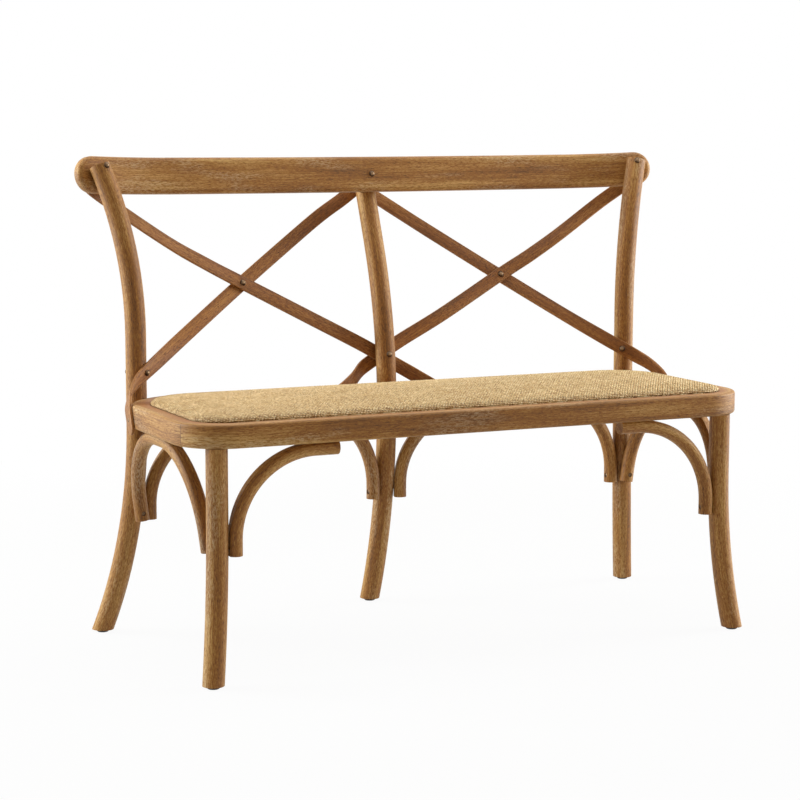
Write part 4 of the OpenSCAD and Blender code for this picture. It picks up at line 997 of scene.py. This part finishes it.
def head_sites(node, head_height):
    """Where each fastener of a node has a head, and which way that head faces, read off its solids."""
    work = merged(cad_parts[node].data)
    seen, sites = set(), []
    for first in work.verts:
        if first in seen:
            continue
        seen.add(first)
        island, edge = [], [first]
        while edge:
            v = edge.pop()
            island.append(v.co)
            for e in v.link_edges:
                w = e.other_vert(v)
                if w not in seen:
                    seen.add(w)
                    edge.append(w)
        spots = np.array(island)
        middle = spots.mean(axis=0)
        axes = np.linalg.svd(spots - middle, full_matrices=False)[2]
        shank = max(axes, key=lambda a: np.ptp(spots @ a))
        reach = (spots - middle) @ shank
        radial = np.linalg.norm(spots - middle - reach[:, None] * shank, axis=1)
        for sign in (1.0, -1.0):
            end = (sign * reach).max()
            near = sign * reach > end - HEAD_ZONE * head_height
            if radial[near].max() > HEAD_WIDER * np.median(radial[~near]):
                sites.append((middle + sign * shank * (end - head_height), sign * shank))
    work.free()
    return sites


def fasten(name, node, head, height, seed, sink=0.0):
    """Puts a head on each fastener of a node."""
    sites = head_sites(node, height * MM)
    mesh = bpy.data.meshes.new(name)
    mesh.from_pydata([tuple(p) for p, _ in sites], [], [])
    mesh.attributes.new("facing", "FLOAT_VECTOR", "POINT").data.foreach_set(
        "vector", np.array([f for _, f in sites], np.float32).ravel())
    values = {"Head": head, "Seed": seed, "Sink": sink * MM, "Material": bronze}
    piece = grown(name, mesh, heads, values, bronze)
    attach(piece, "root")
    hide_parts(node)


heads = heads_tree()
dome = turned_head("dome head", dome_profile(DOME_R * MM, DOME_H * MM, DOME_LIP * MM))
flat_profile = [(0, -1.0), (3.2, -1.0), (4.0, 0.9), (4.0, 1.2), (3.4, 1.65), (2.2, 2.0), (0, 2.15)]
flat = turned_head("flat head", [(radius * MM, height * MM) for radius, height in flat_profile],
                   cross=(4.6 * MM, 0.9 * MM, 2.15 * MM, 0.9 * MM))
fasten("crest_stud_heads", "crest_studs", dome, DOME_H, 1)
fasten("crossing_rivet_heads", "crossing_rivets", dome, DOME_H, 2)
fasten("post_rivet_heads", "post_rivets", dome, DOME_H, 3)
fasten("seat_bolt_heads", "seat_bolts", dome, DOME_H, 4)
fasten("brace_screw_heads", "bracket_screws", flat, SCREW_H, 5)
fasten("strap_screw_heads", "strap_screws", flat, SCREW_H, 6, sink=-STRAP_SCREW_UP)
for head in (dome, flat):
    bpy.data.objects.remove(head)

# The glides: a round button moulded in dark plastic, with a nail that is tapped up into each foot.
# It keeps the wood off the floor.

moulded, b = new_material("moulded glide")
grit = b.noise(b.place(), (900.0, 900.0, 900.0), detail=3.0)
b.surface(Base_Color=b.ramp(grit, (0.4, srgb(38, 32, 28)), (0.6, srgb(58, 50, 44))),
          Roughness=grit * 0.3 + 0.45, Normal=b.bump(grit, 0.3, 0.0003))
dress(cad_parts["glides"].data, moulded)

# The studio: a pale floor that runs out into a white surround. A soft lamp stands behind the bench's left
# end, another beside its right end, and weaker ones light it from above and from the front.

FLOOR, FLOOR_WHITE, SHADOW_FADES = 14.0, 0.95, (0.9, 2.2)
WHITE, AROUND, AROUND_STRENGTH = (1.0, 1.0, 1.0, 1.0), srgb(255, 238, 210), 0.14
floor_mesh = bpy.data.meshes.new("floor")
floor_mesh.from_pydata([(-FLOOR, -FLOOR, 0), (FLOOR, -FLOOR, 0), (FLOOR, FLOOR, 0), (-FLOOR, FLOOR, 0)], [],
                       [(0, 1, 2, 3)])
floor = set_out("floor", floor_mesh)


def backdrop_rays(b):
    """1 where the backdrop is seen itself, or in a gloss, and 0 where it only lights the bench."""
    rays = b.add("ShaderNodeLightPath")
    return rays[0].maths("MAXIMUM", rays[0], rays[3])


paper, b = new_material("studio paper")
spot = b.parts(b.place())
away = (spot[0] * spot[0] + spot[1] * spot[1]) ** 0.5
plain = b.add("ShaderNodeBsdfDiffuse", None, {"Color": (0.62, 0.62, 0.62, 1.0)})[0]
white = b.add("ShaderNodeEmission", None, {"Color": WHITE, "Strength": 1.0})[0]
seen = backdrop_rays(b) * (away.clear(*SHADOW_FADES) * (1.0 - FLOOR_WHITE) + FLOOR_WHITE)
surface = b.add("ShaderNodeMixShader", None, (seen, plain, white))[0]
b.add("ShaderNodeOutputMaterial", None, {"Surface": surface})
floor_mesh.materials.append(paper)

world = bpy.data.worlds.new("studio")
bpy.context.scene.world = world
world.use_nodes = True
world.node_tree.nodes.clear()
b = Bench(world.node_tree)
seen = backdrop_rays(b)
sky = b.add("ShaderNodeBackground", None, {
    "Color": b.mix(seen, AROUND, WHITE), "Strength": seen * (1.0 - AROUND_STRENGTH) + AROUND_STRENGTH})[0]
b.add("ShaderNodeOutputWorld", None, {"Surface": sky})


def lamp(name, place, aim, size, power, colour=(255, 255, 255)):
    light = bpy.data.lights.new(name, "AREA")
    light.shape, light.size, light.size_y, light.energy = "RECTANGLE", size[0], size[1], power
    light.color = srgb(*colour)[:3]
    holder = set_out(name, light)
    holder.location = place
    holder.rotation_euler = (Vector(aim) - Vector(place)).to_track_quat("-Z", "Y").to_euler()


lamp("left box", (-2.5, 1.2, 1.3), (0, 0, 0.5), (1.4, 2.2), 92, (249, 255, 253))
lamp("right box", (2.8, -0.4, 1.2), (0, 0, 0.5), (1.3, 2.2), 96, (252, 255, 252))
lamp("top box", (0.0, 0.2, 2.9), (0, 0, 0.45), (2.6, 1.6), 40)
lamp("front fill", (0.6, -3.8, 1.4), (0, 0, 0.4), (2.4, 1.6), 13, (255, 222, 168))

# The camera: it stands to the left of the bench's front and a little above it.
# Its lens is long, so the bench hardly narrows towards the back.

CAMERA_AT = (-1762.0, -3407.0, 964.0)
AZIMUTH, ELEVATION, TILT = math.radians(-25.18), math.radians(7.51), math.radians(0.1)
camera_data = bpy.data.cameras.new("camera")
camera_data.lens, camera_data.sensor_width = 98.43, 36.0
camera = set_out("camera", camera_data)
camera.location = at_bench([CAMERA_AT])[0]
back = Vector((math.sin(AZIMUTH) * math.cos(ELEVATION), -math.cos(AZIMUTH) * math.cos(ELEVATION),
               math.sin(ELEVATION)))
camera.rotation_mode = "QUATERNION"
camera.rotation_quaternion = (-back).to_track_quat("-Z", "Y") @ Matrix.Rotation(TILT, 3, "Z").to_quaternion()
bpy.context.scene.camera = camera
bpy.context.scene.view_settings.view_transform = "Standard"
